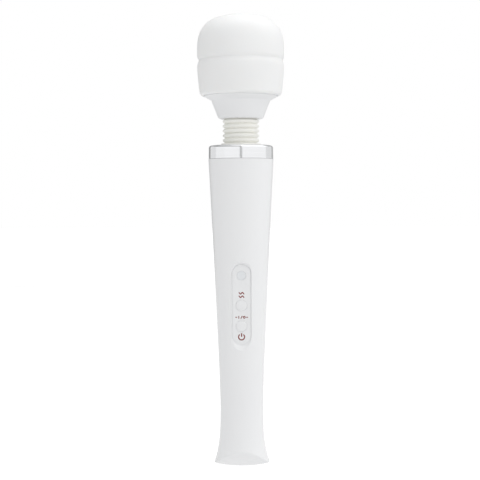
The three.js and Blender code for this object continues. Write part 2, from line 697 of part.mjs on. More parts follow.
// Closes the handle's top inside the ring, and holds the neck's lower end and the spring's seat.
function topCover() {
  const underLip = RING_TOP_Z - RING_LIP_THICKNESS - GAP;
  const skirt = handleRadius(SKIRT_BOTTOM_Z) - WALL - GAP;
  const rim = RING_INNER_RADIUS - GAP;
  const lip = RING_LIP_RADIUS - GAP;
  const socket = BOOT_SPIGOT_RADIUS + GAP;
  const webTop = NECK_Z - COVER_SOCKET_DEPTH;
  const webBottom = webTop - COVER_WEB;
  return piece('top_cover', 'whiteSatin', turned([
    [DRIVE_HOLE_RADIUS, webBottom], [skirt - SKIRT_WALL, webBottom], [skirt - SKIRT_WALL, SKIRT_BOTTOM_Z],
    [skirt, SKIRT_BOTTOM_Z], [skirt, RING_BOTTOM_Z], [rim, RING_BOTTOM_Z], [rim, underLip],
    [lip, underLip], [lip, NECK_Z], [socket, NECK_Z], [socket, webTop], [DRIVE_HOLE_RADIUS, webTop],
    [DRIVE_HOLE_RADIUS, webBottom],
  ], FINE));
}

function springSeat(name, bottom) {
  const hole = 6.9;
  return piece(name, 'steel', washer(hole, BOOT_BORE - GAP, bottom, bottom + SEAT_THICKNESS));
}

function ribRadius(height) {
  const swing = Math.cos((Math.PI * (height - FIRST_RIB)) / RIB_PITCH);
  return RIB_ROOT_RADIUS + RIB_HEIGHT * swing * swing;
}

// The ribbed rubber neck, with a spigot into the collar and another into the head.
function neckBoot() {
  const top = NECK_LENGTH - GAP;
  const end = top + BOOT_UPPER_SPIGOT;
  const bellows = steps(FIRST_RIB - RIB_PITCH / 2, top, 2 * RIB_COUNT).map((h) => [ribRadius(h), h]);
  return piece('neck_boot', 'ivoryRubber', turned([
    [BOOT_BORE, -BOOT_LOWER_SPIGOT], [BOOT_SPIGOT_RADIUS, -BOOT_LOWER_SPIGOT], [BOOT_SPIGOT_RADIUS, GAP],
    [BOOT_FLANGE_RADIUS, GAP], [BOOT_FLANGE_RADIUS, BOOT_FLANGE_TOP], ...bellows,
    [BOOT_SPIGOT_RADIUS, top], [BOOT_SPIGOT_RADIUS, end], [BOOT_BORE, end], [BOOT_BORE, -BOOT_LOWER_SPIGOT],
  ]));
}

function neckSpring() {
  const clear = SPRING_AIR + SPRING_WIRE_RADIUS;
  const turns = 5;
  const coil = new Helix(
    SPRING_RADIUS, LOWER_SEAT + SEAT_THICKNESS + clear, NECK_LENGTH + UPPER_SEAT - clear, turns);
  return piece('neck_spring', 'steel', wire(coil, SPRING_WIRE_RADIUS, 5, 10 * turns));
}

// ---------- Head ----------

function headCone() {
  const corner = arc(CONE_FOOT_RADIUS - CONE_CORNER, CONE_CORNER, CONE_CORNER, -90, -20, 4);
  const socket = BOOT_SPIGOT_RADIUS + GAP;
  const screwHole = () => disc(PLATE_SCREW_HOLE_RADIUS, PLATE_SCREW_TIP - GAP, UPSTAND_TOP);
  return piece('head_cone', 'whiteSatin', shaped(turned([
    [socket, 0], ...corner, [CONE_TOP_RADIUS, CONE_TOP], [LIP_FOOT_RADIUS, LIP_FOOT],
    [LIP_RADIUS, LIP_BOTTOM], [LIP_RADIUS, LIP_TOP], [UPSTAND_RADIUS, LIP_TOP + GAP],
    [UPSTAND_RADIUS, UPSTAND_TOP], [UPSTAND_BORE, UPSTAND_TOP], [UPSTAND_BORE, PLATE_SHELF],
    [HOUSING_BORE, PLATE_SHELF], [HOUSING_BORE, LIP_BOTTOM], [HOUSING_FLOOR_RADIUS, HOUSING_FLOOR],
    [DRIVE_HOLE_RADIUS, HOUSING_FLOOR], [DRIVE_HOLE_RADIUS, HEAD_SOCKET_DEPTH],
    [socket, HEAD_SOCKET_DEPTH], [socket, 0],
  ], FINE), { cut: atPlateScrews(screwHole) }));
}

// The soft cap's outer radius at a height: a swelling side with a shallow groove, then a flattened dome.
function capRadius(height) {
  if (height >= CAP_MAX_HEIGHT) {
    const rise = (height - CAP_MAX_HEIGHT) / DOME_HEIGHT;
    return CAP_MAX_RADIUS * Math.max(0, 1 - rise ** 2.9) ** (1 / 2.8);
  }
  const below = Math.max(0, (SIDE_TAPER_TOP - height) / SIDE_TAPER_HEIGHT);
  const groove = Math.exp(-(((height - GROOVE_HEIGHT) / GROOVE_SPREAD) ** 2));
  return CAP_MAX_RADIUS - SIDE_TAPER * below ** 1.5 - GROOVE_DEPTH * groove;
}

// Heights up the dome, closer together towards its flat top.
function domeHeights(bottom, top, count) {
  return Array.from({ length: count }, (_, i) =>
    bottom + (top - bottom) * Math.sin((Math.PI * (i + 1)) / (2 * count + 2)));
}

// A dome drawn in from the cap's own by an inset, from its widest point almost to its top.
function insetDome(inset, count) {
  const scale = 1 - inset / CAP_MAX_RADIUS;
  const heightScale = 1 - inset / DOME_HEIGHT;
  return domeHeights(CAP_MAX_HEIGHT, CAP_TOP, count)
    .map((h) => [capRadius(h) * scale, CAP_MAX_HEIGHT + (h - CAP_MAX_HEIGHT) * heightScale]);
}

function headCap() {
  const sideFoot = CAP_BOTTOM + CAP_CORNER + 0.6;
  const cornerRadius = capRadius(sideFoot) - CAP_CORNER;
  const corner = arc(cornerRadius, CAP_BOTTOM + CAP_CORNER, CAP_CORNER, -80, -5, 3);
  const side = [sideFoot, 27, 33, 38, GROOVE_HEIGHT, GROOVE_HEIGHT + GROOVE_SPREAD, CAP_MAX_HEIGHT]
    .map((h) => [capRadius(h), h]);
  return piece('head_cap', 'whiteSilicone', turned([
    [0, CAP_TOP - CAP_WALL], ...insetDome(CAP_WALL, 4).reverse(),
    [CAP_MAX_RADIUS - CAP_WALL, CAP_MAX_HEIGHT],
    [CAP_SKIRT_BORE, CAP_BOTTOM + 2], [CAP_SKIRT_BORE, CAP_BOTTOM], ...corner, ...side,
    ...insetDome(0, 6), [0, CAP_TOP],
  ], FINE));
}

// The rigid dome that the soft cap is stretched over, with the upper bearing's seat in its top.
function headShell() {
  const bearingTop = UPPER_BEARING + BEARING_WIDTH + GAP;
  const shaftWell = DRIVEN_SHAFT_TOP + 0.5;
  const wellRadius = 4;
  const seat = BEARING_RADIUS + GAP;
  const postTop = 66;
  const wall = 1.5;
  const wallFoot = CAP_SKIRT_BORE - GAP;
  const inside = insetDome(DOME_INNER, 3).filter(([radius]) => radius > BEARING_POST_RADIUS).reverse();
  return piece('head_shell', 'greyNylon', turned([
    [0, shaftWell], [wellRadius, shaftWell], [wellRadius, bearingTop], [seat, bearingTop],
    [seat, UPPER_BEARING], [BEARING_POST_RADIUS, UPPER_BEARING], [BEARING_POST_RADIUS, postTop],
    ...inside, [CAP_MAX_RADIUS - DOME_INNER, CAP_MAX_HEIGHT], [wallFoot - wall, DOME_BOTTOM],
    [wallFoot, DOME_BOTTOM], [CAP_MAX_RADIUS - DOME_SKIN, CAP_MAX_HEIGHT], ...insetDome(DOME_SKIN, 4),
    [0, CAP_TOP - DOME_SKIN],
  ]));
}

function plateScrewPlaces() {
  return [90, 210, 330].map((degrees) => {
    const angle = THREE.MathUtils.degToRad(degrees);
    return [PLATE_SCREW_SPREAD * Math.cos(angle), PLATE_SCREW_SPREAD * Math.sin(angle)];
  });
}

// One geometry of the kind that is made, at each screw of the bearing plate.
function atPlateScrews(make) {
  return plateScrewPlaces().map(([x, y]) => make().translate(x, y, 0));
}

// The plate across the head's lower housing that carries the lower bearing, with its screws.
function bearingPlate() {
  const bottom = PLATE_SHELF + GAP;
  const top = bottom + 3;
  const edge = UPSTAND_BORE - 2 * GAP;
  const seat = BEARING_RADIUS + GAP;
  const cupBottom = LOWER_BEARING - 1.6;
  const shaftHole = 6.5;
  const plate = shaped(turned([
    [shaftHole, cupBottom], [BEARING_POST_RADIUS, cupBottom], [BEARING_POST_RADIUS, bottom], [edge, bottom],
    [edge, top], [seat, top], [seat, LOWER_BEARING - GAP], [shaftHole, LOWER_BEARING - GAP],
    [shaftHole, cupBottom],
  ]), { cut: atPlateScrews(() => disc(PLATE_SCREW_HOLE_RADIUS, bottom - 1, top + 1)) });
  const seatTop = top + GAP;
  const headTop = seatTop + SCREW_HEAD_HEIGHT;
  const screws = plateScrewPlaces().map(([x, y], i) => {
    const screw = piece(`plate_screw_${i + 1}`, 'steel', turned([
      [0, PLATE_SCREW_TIP], [PLATE_SCREW_RADIUS, PLATE_SCREW_TIP], [PLATE_SCREW_RADIUS, seatTop],
      [PLATE_SCREW_HEAD_RADIUS, seatTop], [PLATE_SCREW_HEAD_RADIUS, headTop], [0, headTop],
    ], 12));
    screw.position.set(x, y, 0);
    return screw;
  });
  return [piece('bearing_plate', 'greyNylon', plate), ...screws];
}

function bearing(name, bottom) {
  const bore = DRIVEN_SHAFT_RADIUS + GAP;
  return piece(name, 'steel', washer(bore, BEARING_RADIUS, bottom, bottom + BEARING_WIDTH));
}

// The off-centre weight: half a disc on one side of the shaft and a plain hub on the other.
function eccentricWeight() {
  const section = new THREE.Shape();
  section.absarc(0, 0, WEIGHT_RADIUS, -Math.PI / 2, Math.PI / 2, false);
  section.lineTo(0, WEIGHT_HUB_RADIUS);
  section.absarc(0, 0, WEIGHT_HUB_RADIUS, Math.PI / 2, 1.5 * Math.PI, false);
  section.closePath();
  const options = { depth: WEIGHT_HEIGHT, bevelEnabled: false, curveSegments: 5 };
  const block = new THREE.ExtrudeGeometry(section, options).translate(0, 0, WEIGHT_BOTTOM);
  const bore = disc(DRIVEN_SHAFT_RADIUS + GAP, 0, CAP_TOP);
  return piece('eccentric_weight', 'castSteel', shaped(block, { cut: [bore] }));
}

// The turning set in the head: driven hub, shaft, spacers and weight.
function headRotor() {
  const bore = DRIVEN_SHAFT_RADIUS + GAP;
  const hubRadius = DRIVE_HUB_RADIUS + 0.8;
  const hubTop = 12.1;
  const hub = turned([
    [0, 0.1], [hubRadius, 0.1], [hubRadius, hubTop], [bore, hubTop],
    [bore, DRIVEN_SHAFT_BOTTOM - GAP], [0, DRIVEN_SHAFT_BOTTOM - GAP],
  ], COARSE);
  const lowerSpacer = [LOWER_BEARING + BEARING_WIDTH + GAP, WEIGHT_BOTTOM - GAP];
  const upperSpacer = [WEIGHT_BOTTOM + WEIGHT_HEIGHT + GAP, UPPER_BEARING - GAP];
  return [
    piece('eccentric_shaft', 'steel', disc(DRIVEN_SHAFT_RADIUS, DRIVEN_SHAFT_BOTTOM, DRIVEN_SHAFT_TOP)),
    piece('coupling_hub_upper', 'castSteel', hub),
    piece('shaft_spacer_lower', 'brass', washer(bore, SPACER_RADIUS, ...lowerSpacer, COARSE)),
    piece('shaft_spacer_upper', 'brass', washer(bore, SPACER_RADIUS, ...upperSpacer, COARSE)),
    eccentricWeight(),
  ];
}

// ---------- Assembly ----------

function handleAssembly() {
  const handle = new THREE.Group();
  const panel = controlPanel();
  handle.add(panel, frontShell(panel.matrix), rearShell(), endCap(), ...chargingContacts());
  handle.add(batteryCradle(), ...batteryCells(), ...leads());
  handle.add(motorCan(), ...motorMagnets(), ...motorMounting(), ...motorRotor());
  handle.add(collarRing(), topCover(), springSeat('spring_seat_lower', NECK_Z + LOWER_SEAT));
  return handle;
}

function neckAssembly() {
  const neck = new THREE.Group();
  neck.position.z = NECK_Z;
  neck.add(neckBoot(), neckSpring());
  return neck;
}

function headAssembly() {
  const head = new THREE.Group();
  head.position.z = HEAD_Z;
  head.add(headCone(), headCap(), headShell(), springSeat('spring_seat_upper', UPPER_SEAT));
  head.add(bearing('bearing_lower', LOWER_BEARING), bearing('bearing_upper', UPPER_BEARING));
  head.add(...bearingPlate(), ...headRotor());
  return head;
}

const massager = new THREE.Group();
massager.add(handleAssembly(), neckAssembly(), headAssembly());

export default massager;
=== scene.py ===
"""A cordless handheld wand massager on a pale studio floor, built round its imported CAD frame."""
import json
import math
from itertools import pairwise

import bmesh
import bpy
from mathutils import Matrix, Vector
from mathutils.geometry import delaunay_2d_cdt


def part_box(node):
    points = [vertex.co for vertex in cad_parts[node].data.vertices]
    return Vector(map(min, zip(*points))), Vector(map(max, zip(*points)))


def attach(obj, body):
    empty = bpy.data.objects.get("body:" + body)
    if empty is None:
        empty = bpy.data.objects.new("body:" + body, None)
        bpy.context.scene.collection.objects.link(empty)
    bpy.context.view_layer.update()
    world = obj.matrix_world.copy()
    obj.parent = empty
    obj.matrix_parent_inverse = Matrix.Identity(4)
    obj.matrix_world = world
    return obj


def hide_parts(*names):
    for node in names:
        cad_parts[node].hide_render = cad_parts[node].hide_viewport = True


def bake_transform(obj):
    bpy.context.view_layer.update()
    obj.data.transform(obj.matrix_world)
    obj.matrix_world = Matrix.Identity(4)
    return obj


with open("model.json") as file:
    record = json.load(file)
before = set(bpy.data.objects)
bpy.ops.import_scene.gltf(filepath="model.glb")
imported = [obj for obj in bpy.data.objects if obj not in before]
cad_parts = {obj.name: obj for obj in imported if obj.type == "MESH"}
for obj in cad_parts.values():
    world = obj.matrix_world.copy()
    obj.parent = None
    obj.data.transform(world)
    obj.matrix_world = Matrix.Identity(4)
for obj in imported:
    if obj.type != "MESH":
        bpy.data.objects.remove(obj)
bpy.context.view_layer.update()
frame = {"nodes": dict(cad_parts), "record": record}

MM = 0.001
TURN = 2 * math.pi


def box_mm(node):
    """The node's lowest and highest corners in millimetres."""
    low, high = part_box(node)
    return [v / MM for v in low], [v / MM for v in high]


# ---------- Driving sizes, in millimetres ----------

WALL = 2.2
SEAM = 0.2  # the line that shows between two outer pieces
FINE_LINE = 0.12  # the same where they fit closely
SHARP_ANGLE = 38  # edges that turn by more degrees than this stay sharp

SHELL_TOP = box_mm("handle_front_shell")[1][2]
SHOULDER_RADIUS = box_mm("handle_rear_shell")[1][1]
WAIST_Z = 46.4
WAIST_RADIUS = 15.3
TAIL_RADIUS = 19.5
TAIL_RIM_Z = 3
FLARE_POWER = 3.6
TAPER_POWER = 1.17
CORNER = 1.0  # rounding of the tail's edge
RIM_WIDTH = 1.9
END_CURVE_X = 0.006  # rise of the end face, per square millimetre from the axis
END_CURVE_Y = 0.0438
END_FLAT_DEPTH = 0.5
END_SOFTNESS = 0.02
END_CAP_THICKNESS = 2.4

ROWS_START = 22  # the handle's rows are even from here up
SEAM_DROP = 0.08  # how far the skin steps in at the split line
RECESS_FLOOR = -0.35
TRAY_UNDERSIDE = -3.0
TRAY_MARGIN = 1.6

PANEL_Z = 115.55
PANEL_HALF_LENGTH = 31.55
PANEL_HALF_WIDTH = 7.1
PANEL_DEPTH = 1.9
INSERT_HALF_LENGTH = 28.1
INSERT_HALF_WIDTH = 6.5
INSERT_SHIFT = 1.05
INSERT_THICKNESS = 1.5
BUTTON_RADIUS = 4
BUTTON_CROWN = 0.8
LENS_RADIUS = 3.2
SLIDING_GAP = 0.04
FITTED_GAP = 0.05
UNDER_INSERT = 0.3  # the gap below the insert
BUTTON_WINDOW = 5.1
LAMP_WINDOW = 2.2
MODE_BUTTON_Z = 116
POWER_BUTTON_Z = 101.4
LAMP_Z = 137
MODE_MARK_Z = 123.4
LEGEND_Z = 107.7
POWER_MARK_Z = 93.8

RING_BOTTOM, RING_TOP = (corner[2] for corner in box_mm("collar_ring"))
SHELL_END = (SHELL_TOP + RING_BOTTOM) / 2 - FINE_LINE / 2
RING_START = SHELL_END + FINE_LINE
RING_RADIUS = box_mm("collar_ring")[1][0]
RING_LIP_RADIUS = 19.6
RING_FILLET = 1.7
RING_WALL = 1.4
RING_LIP_THICKNESS = 1.2
SOCKET_RADIUS = 12.2  # the sockets in the cover and the cone that hold the neck's ends
SPIGOT_RADIUS = 11.9
COVER_TOP = box_mm("top_cover")[1][2]
NECK_Z = COVER_TOP
HEAD_Z = box_mm("head_cone")[0][2]
CAP_BOTTOM = box_mm("head_cap")[0][2] - HEAD_Z
CAP_TOP = box_mm("head_cap")[1][2] - HEAD_Z
CAP_RADIUS = box_mm("head_cap")[1][0]
CAP_MAX_HEIGHT = 46.4  # above the head's foot, as are the other heights of the cap
CAP_DOME_RISE_POWER = 2.9
CAP_DOME_SPREAD_POWER = 2.8
CAP_DOME_SCALE = 27  # the inner dome is lower than the outer by the wall's share of this
GROOVE_HEIGHT = 41.2
GROOVE_DEPTH = 1.25
GROOVE_SPREAD_ABOVE = 1.4
GROOVE_SPREAD_BELOW = 2.1
CAP_TAPER_START = 37.6
CAP_TAPER_LENGTH = 17
CAP_TAPER = 1.4
CAP_WALL = 3.3
CAP_BORE = 26.3
CAP_FILLET = 2.9
CAP_OVERHANG = 0.9  # how far the soft cap's lower edge reaches past the CAD cap's
RIB_PITCH = 3.35
FIRST_RIB = 3.8
RIB_ROOT_RADIUS = 10.9
RIB_HEIGHT = 2.05
RIB_SHARPNESS = 0.85  # below 1 the crests are broad and the roots are narrow
NECK_BORE = 10.25
NECK_FLANGE_RADIUS = 13.6
NECK_FLANGE_ROUND = 0.75
NECK_SPLIT = FIRST_RIB + 1.5 * RIB_PITCH


# ---------- Mesh helpers ----------

ON_AXIS = 1e-6


def mesh_object(name, verts, faces, sharp_angle=SHARP_ANGLE):
    """A smooth-shaded object from points in millimetres, facing outward, its sharp edges kept."""
    mesh = bpy.data.meshes.new(name)
    mesh.from_pydata([Vector(v) * MM for v in verts], [], faces)
    work = bmesh.new()
    work.from_mesh(mesh)
    bmesh.ops.remove_doubles(work, verts=work.verts, dist=1e-7)
    bmesh.ops.dissolve_degenerate(work, edges=work.edges, dist=1e-8)
    bmesh.ops.recalc_face_normals(work, faces=work.faces)
    work.to_mesh(mesh)
    work.free()
    mesh.shade_smooth()
    mesh.set_sharp_from_angle(angle=math.radians(sharp_angle))
    obj = bpy.data.objects.new(name, mesh)
    bpy.context.scene.collection.objects.link(obj)
    return obj


def rounded(corners, steps=5):
    """A profile in which each corner given as (radius, height, fillet) becomes an arc."""
    points = []
    befores, afters = corners[-1:] + corners[:-1], corners[1:] + corners[:1]
    for before, corner, after in zip(befores, corners, afters):
        here = Vector(corner[:2])
        size = corner[2] if len(corner) > 2 else 0
        if not size:
            points.append(tuple(here))
            continue
        back = (Vector(before[:2]) - here).normalized()
        ahead = (Vector(after[:2]) - here).normalized()
        half = back.angle(ahead) / 2
        centre = here + (back + ahead).normalized() * size / math.sin(half)
        start = here + back * size / math.tan(half) - centre
        end = here + ahead * size / math.tan(half) - centre
        sweep = start.angle_signed(end)
        for i in range(steps + 1):
            # angle_signed counts clockwise, so the arc turns by its negative
            points.append(tuple(centre + Matrix.Rotation(-sweep * i / steps, 2) @ start))
    return points


def revolved(name, profile, facets=144, sharp_angle=SHARP_ANGLE):
    """A (radius, height) profile turned about Z, from axis to axis or closed on itself."""
    verts, rings = [], []
    for radius, height in profile:
        if radius < ON_AXIS:
            rings.append([len(verts)] * facets)
            verts.append((0, 0, height))
            continue
        rings.append(list(range(len(verts), len(verts) + facets)))
        verts += [(x, y, height) for x, y in circle_loop(0, 0, radius, facets)]
    if profile[0][0] > ON_AXIS:
        rings.append(rings[0])
    faces = []
    for low, high in pairwise(rings):
        for i in range(facets):
            j = (i + 1) % facets
            corners = dict.fromkeys((low[i], low[j], high[j], high[i]))
            if len(corners) > 2:
                faces.append(tuple(corners))
    return mesh_object(name, verts, faces, sharp_angle)


def spaced(start, end, count):
    """The values at the ends of count even steps from start to end."""
    return [start + (end - start) * i / count for i in range(count + 1)]


def circle_loop(u, v, radius, count=48):
    """A circle's outline."""
    return [(u + radius * math.cos(TURN * i / count), v + radius * math.sin(TURN * i / count))
            for i in range(count)]


def racetrack_loop(half_width, half_length, shift=0, arc_steps=28):
    """The outline of a rounded slot, long along v."""
    straight = half_length - half_width
    ends = ((straight, 0), (-straight, math.pi))
    return [(half_width * math.cos(start + math.pi * i / arc_steps),
             shift + offset + half_width * math.sin(start + math.pi * i / arc_steps))
            for offset, start in ends for i in range(arc_steps + 1)]


def filled(loops):
    """Triangles of the flat region inside the first loop and outside the others."""
    points, faces = [], []
    for loop in loops:
        faces.append(list(range(len(points), len(points) + len(loop))))
        points += [Vector(p) for p in loop]
    # output type 2 gives triangles inside the outline, and leaves its holes open
    result = delaunay_2d_cdt(points, [], faces, 2, 1e-7)
    return result[0], result[2]


def plate(name, outline, holes, bottom, top, edge, place):
    """A flat plate with a rounded upper edge. outline and holes give their loop at an inset."""
    profile = [(0, bottom), *((edge - edge * math.cos(a), top - edge + edge * math.sin(a))
                              for a in spaced(0, math.pi / 2, 4))]
    verts, faces = [], []
    for loop_at in [outline, *holes]:
        rings = []
        for inset, height in profile:
            loop = loop_at(inset)
            rings.append(range(len(verts), len(verts) + len(loop)))
            verts += [place(u, v, height) for u, v in loop]
        for low, high in pairwise(rings):
            faces += [(low[i], low[i - 1], high[i - 1], high[i]) for i in range(len(low))]
    for inset, height in (profile[0], profile[-1]):
        points, triangles = filled([loop_at(inset) for loop_at in [outline, *holes]])
        first = len(verts)
        verts += [place(p[0], p[1], height) for p in points]
        faces += [tuple(first + i for i in triangle) for triangle in triangles]
    return mesh_object(name, verts, faces, sharp_angle=50)


def cut_away(obj, cutters):
    """Takes the cutters' volume out of a piece, and removes them."""
    for cutter in cutters:
        modifier = obj.modifiers.new("cut", "BOOLEAN")
        modifier.operation = "DIFFERENCE"
        modifier.solver = "EXACT"
        modifier.object = cutter
    bpy.context.view_layer.update()
    evaluated = obj.evaluated_get(bpy.context.evaluated_depsgraph_get())
    mesh = bpy.data.meshes.new_from_object(evaluated)
    obj.modifiers.clear()
    obj.data = mesh
    work = bmesh.new()
    work.from_mesh(mesh)
    bmesh.ops.dissolve_degenerate(work, edges=work.edges, dist=1e-6)
    work.to_mesh(mesh)
    work.free()
    mesh.shade_smooth()
    mesh.set_sharp_from_angle(angle=math.radians(SHARP_ANGLE))
    for cutter in cutters:
        bpy.data.objects.remove(cutter)


# ---------- Materials ----------

def new_material(name, roughness, metallic=0.0):
    """A material with its nodes, links, shader and object coordinates."""
    material = bpy.data.materials.new(name)
    material.use_nodes = True
    nodes, links = material.node_tree.nodes, material.node_tree.links
    shader = nodes["Principled BSDF"]
    shader.inputs["Roughness"].default_value = roughness
    shader.inputs["Metallic"].default_value = metallic
    place = nodes.new("ShaderNodeTexCoord").outputs["Object"]
    return material, nodes, links, shader, place


def noise(nodes, links, place, scale, detail=3.0, stretch=(1, 1, 1)):
    """Noise in the object's own coordinates."""
    mapping = nodes.new("ShaderNodeMapping")
    mapping.inputs["Scale"].default_value = stretch
    texture = nodes.new("ShaderNodeTexNoise")
    texture.inputs["Scale"].default_value = scale
    texture.inputs["Detail"].default_value = detail
    links.new(place, mapping.inputs["Vector"])
    links.new(mapping.outputs["Vector"], texture.inputs["Vector"])
    return texture.outputs["Fac"]


def ranged(nodes, links, value, low, high):
    """A noise value's usual spread, carried over to the range from low to high."""
    mapped = nodes.new("ShaderNodeMapRange")
    mapped.inputs["From Min"].default_value = 0.35
    mapped.inputs["From Max"].default_value = 0.65
    mapped.inputs["To Min"].default_value = low
    mapped.inputs["To Max"].default_value = high
    links.new(value, mapped.inputs["Value"])
    return mapped.outputs["Result"]


def tinted(nodes, links, value, dark, light):
    """A colour that drifts between dark and light with a noise value."""
    ramp = nodes.new("ShaderNodeValToRGB")
    ramp.color_ramp.elements[0].position = 0.3
    ramp.color_ramp.elements[0].color = (*dark, 1)
    ramp.color_ramp.elements[1].position = 0.7
    ramp.color_ramp.elements[1].color = (*light, 1)
    links.new(value, ramp.inputs["Fac"])
    return ramp.outputs["Color"]


def bumped(nodes, links, shader, height, distance, strength=1.0, below=None):
    """Puts relief on the shader, over an earlier bump's normal if one is given."""
    bump = nodes.new("ShaderNodeBump")
    bump.inputs["Distance"].default_value = distance
    bump.inputs["Strength"].default_value = strength
    links.new(height, bump.inputs["Height"])
    if below:
        links.new(below, bump.inputs["Normal"])
    links.new(bump.outputs["Normal"], shader.inputs["Normal"])
    return bump.outputs["Normal"]


def moulded_plastic(name, dark, light, roughness):
    """Injection-moulded plastic: faint tone drift, a slow ripple and a fine grain."""
    material, nodes, links, shader, place = new_material(name, roughness)
    drift = noise(nodes, links, place, scale=28)
    links.new(tinted(nodes, links, drift, dark, light), shader.inputs["Base Color"])
    smudge = noise(nodes, links, place, scale=90, detail=5.0)
    worn = ranged(nodes, links, smudge, roughness * 0.95, roughness * 1.06)
    links.new(worn, shader.inputs["Roughness"])
    shader.inputs["IOR"].default_value = 1.5
    slow = noise(nodes, links, place, scale=260, detail=1.0)
    ripple = bumped(nodes, links, shader, slow, 3.0e-6)
    grain = noise(nodes, links, place, scale=5200, detail=2.0)
    bumped(nodes, links, shader, grain, 4.0e-7, below=ripple)
    return material


def soft_silicone(name, dark, light):
    """Matte silicone: a velvety, slightly translucent skin with a very fine grain and dust."""
    material, nodes, links, shader, place = new_material(name, 0.55)
    drift = noise(nodes, links, place, scale=22, detail=4.0)
    links.new(tinted(nodes, links, drift, dark, light), shader.inputs["Base Color"])
    shader.inputs["Subsurface Weight"].default_value = 0.12
    shader.inputs["Subsurface Radius"].default_value = (1.0, 0.9, 0.8)
    shader.inputs["Subsurface Scale"].default_value = 0.002
    shader.inputs["Sheen Weight"].default_value = 0.08
    shader.inputs["Sheen Roughness"].default_value = 0.6
    dust = noise(nodes, links, place, scale=140, detail=6.0)
    links.new(ranged(nodes, links, dust, 0.46, 0.64), shader.inputs["Roughness"])
    waves = noise(nodes, links, place, scale=60, detail=2.0)
    slow = bumped(nodes, links, shader, waves, 6.0e-5, strength=0.6)
    grain = noise(nodes, links, place, scale=3600, detail=3.0)
    bumped(nodes, links, shader, grain, 3.0e-6, below=slow)
    return material


def neck_rubber(name):
    """Warm white rubber with a slow drift of tone and a fine matte grain."""
    material, nodes, links, shader, place = new_material(name, 0.5)
    drift = noise(nodes, links, place, scale=55, detail=4.0)
    warm_white = tinted(nodes, links, drift, (0.93, 0.927, 0.885), (0.96, 0.957, 0.915))
    links.new(warm_white, shader.inputs["Base Color"])
    patches = noise(nodes, links, place, scale=200, detail=5.0)
    links.new(ranged(nodes, links, patches, 0.40, 0.60), shader.inputs["Roughness"])
    bumped(nodes, links, shader, noise(nodes, links, place, scale=3000, detail=3.0), 1.0e-6)
    return material


def turned_metal(name):
    """Bright plated metal with the fine level lines that a lathe leaves."""
    material, nodes, links, shader, place = new_material(name, 0.12, 1.0)
    broad = noise(nodes, links, place, scale=1, detail=2.0, stretch=(3, 3, 900))
    plating = tinted(nodes, links, broad, (0.86, 0.87, 0.885), (0.92, 0.925, 0.94))
    links.new(plating, shader.inputs["Base Color"])
    links.new(ranged(nodes, links, broad, 0.09, 0.17), shader.inputs["Roughness"])
    fine = noise(nodes, links, place, scale=1, detail=2.0, stretch=(12, 12, 5200))
    bumped(nodes, links, shader, fine, 1.2e-6)
    return material


def inner_finish(name, base, roughness, metallic, grain, depth, stretch=(1, 1, 1)):
    """The finish of a piece inside the shells: its own colour with a grain of the right size."""
    material, nodes, links, shader, place = new_material(name, roughness, metallic)
    dark = tuple(0.82 * c for c in base)
    light = tuple(min(1, 1.12 * c) for c in base)
    value = noise(nodes, links, place, grain, 4.0, stretch)
    links.new(tinted(nodes, links, value, dark, light), shader.inputs["Base Color"])
    links.new(ranged(nodes, links, value, roughness * 0.8, min(1, roughness * 1.2)),
              shader.inputs["Roughness"])
    fine = noise(nodes, links, place, grain * 6, 2.0, stretch)
    bumped(nodes, links, shader, fine, depth)
    return material


# roughness, metallic, grain scale, bump depth and grain stretch of each inner material slot
INNER_FINISHES = {
    "steel": (0.32, 1.0, 300, 4e-6, (1, 1, 8)),
    "weight_steel": (0.55, 0.9, 500, 1.2e-5, (1, 1, 1)),
    "brass": (0.28, 1.0, 300, 4e-6, (1, 1, 6)),
    "magnet": (0.6, 0.3, 400, 1e-5, (1, 1, 1)),
    "black_nylon": (0.55, 0.0, 350, 8e-6, (1, 1, 1)),
    "grey_nylon": (0.55, 0.0, 350, 8e-6, (1, 1, 1)),
    "black_rubber": (0.8, 0.0, 600, 1.2e-5, (1, 1, 1)),
    "cell_wrap": (0.35, 0.0, 120, 6e-6, (1, 1, 0.3)),
    "circuit_green": (0.4, 0.0, 700, 5e-6, (1, 0.3, 1)),
    "copper": (0.35, 1.0, 500, 1e-5, (1, 1, 6)),
    "led_resin": (0.2, 0.0, 200, 2e-6, (1, 1, 1)),
    "red_insulation": (0.5, 0.0, 400, 5e-6, (1, 1, 1)),
    "black_insulation": (0.5, 0.0, 400, 5e-6, (1, 1, 1)),
    "satin_plastic": (0.4, 0.0, 300, 4e-6, (1, 1, 1)),
}


def finish_inner_nodes(kept):
    """Gives every CAD node that stays its own procedural finish."""
    record = frame["record"]
    base_colours = {m["slot"]: m["base_color"][:3] for m in record["materials"]}
    finishes = {slot: inner_finish(f"inner_{slot}", base_colours[slot], *values)
                for slot, values in INNER_FINISHES.items()}
    for part in record["subparts"]:
        if part["node"] in kept:
            mesh = frame["nodes"][part["node"]].data
            mesh.materials.clear()
            mesh.materials.append(finishes[part["material_slot"]])


replaced = set()  # the CAD nodes that a visual piece stands for


def dress(obj, material, body, slot, *nodes):
    """Gives a piece its material, body and the CAD nodes that it stands for; its record slot is
    not used.
    """
    obj.data.materials.clear()
    obj.data.materials.append(material)
    if body:
        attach(obj, body)
    if nodes:
        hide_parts(*nodes)
    replaced.update(nodes)
    return obj


# ---------- Handle ----------

def handle_radius(z):
    """The handle's outside radius: a flare below the waist and a taper above it."""
    if z < WAIST_Z:
        return WAIST_RADIUS + (TAIL_RADIUS - WAIST_RADIUS) * (
            (WAIST_Z - z) / (WAIST_Z - TAIL_RIM_Z)) ** FLARE_POWER
    rise = (z - WAIST_Z) / (SHELL_TOP - WAIST_Z)
    return WAIST_RADIUS + (SHOULDER_RADIUS - WAIST_RADIUS) * rise ** TAPER_POWER


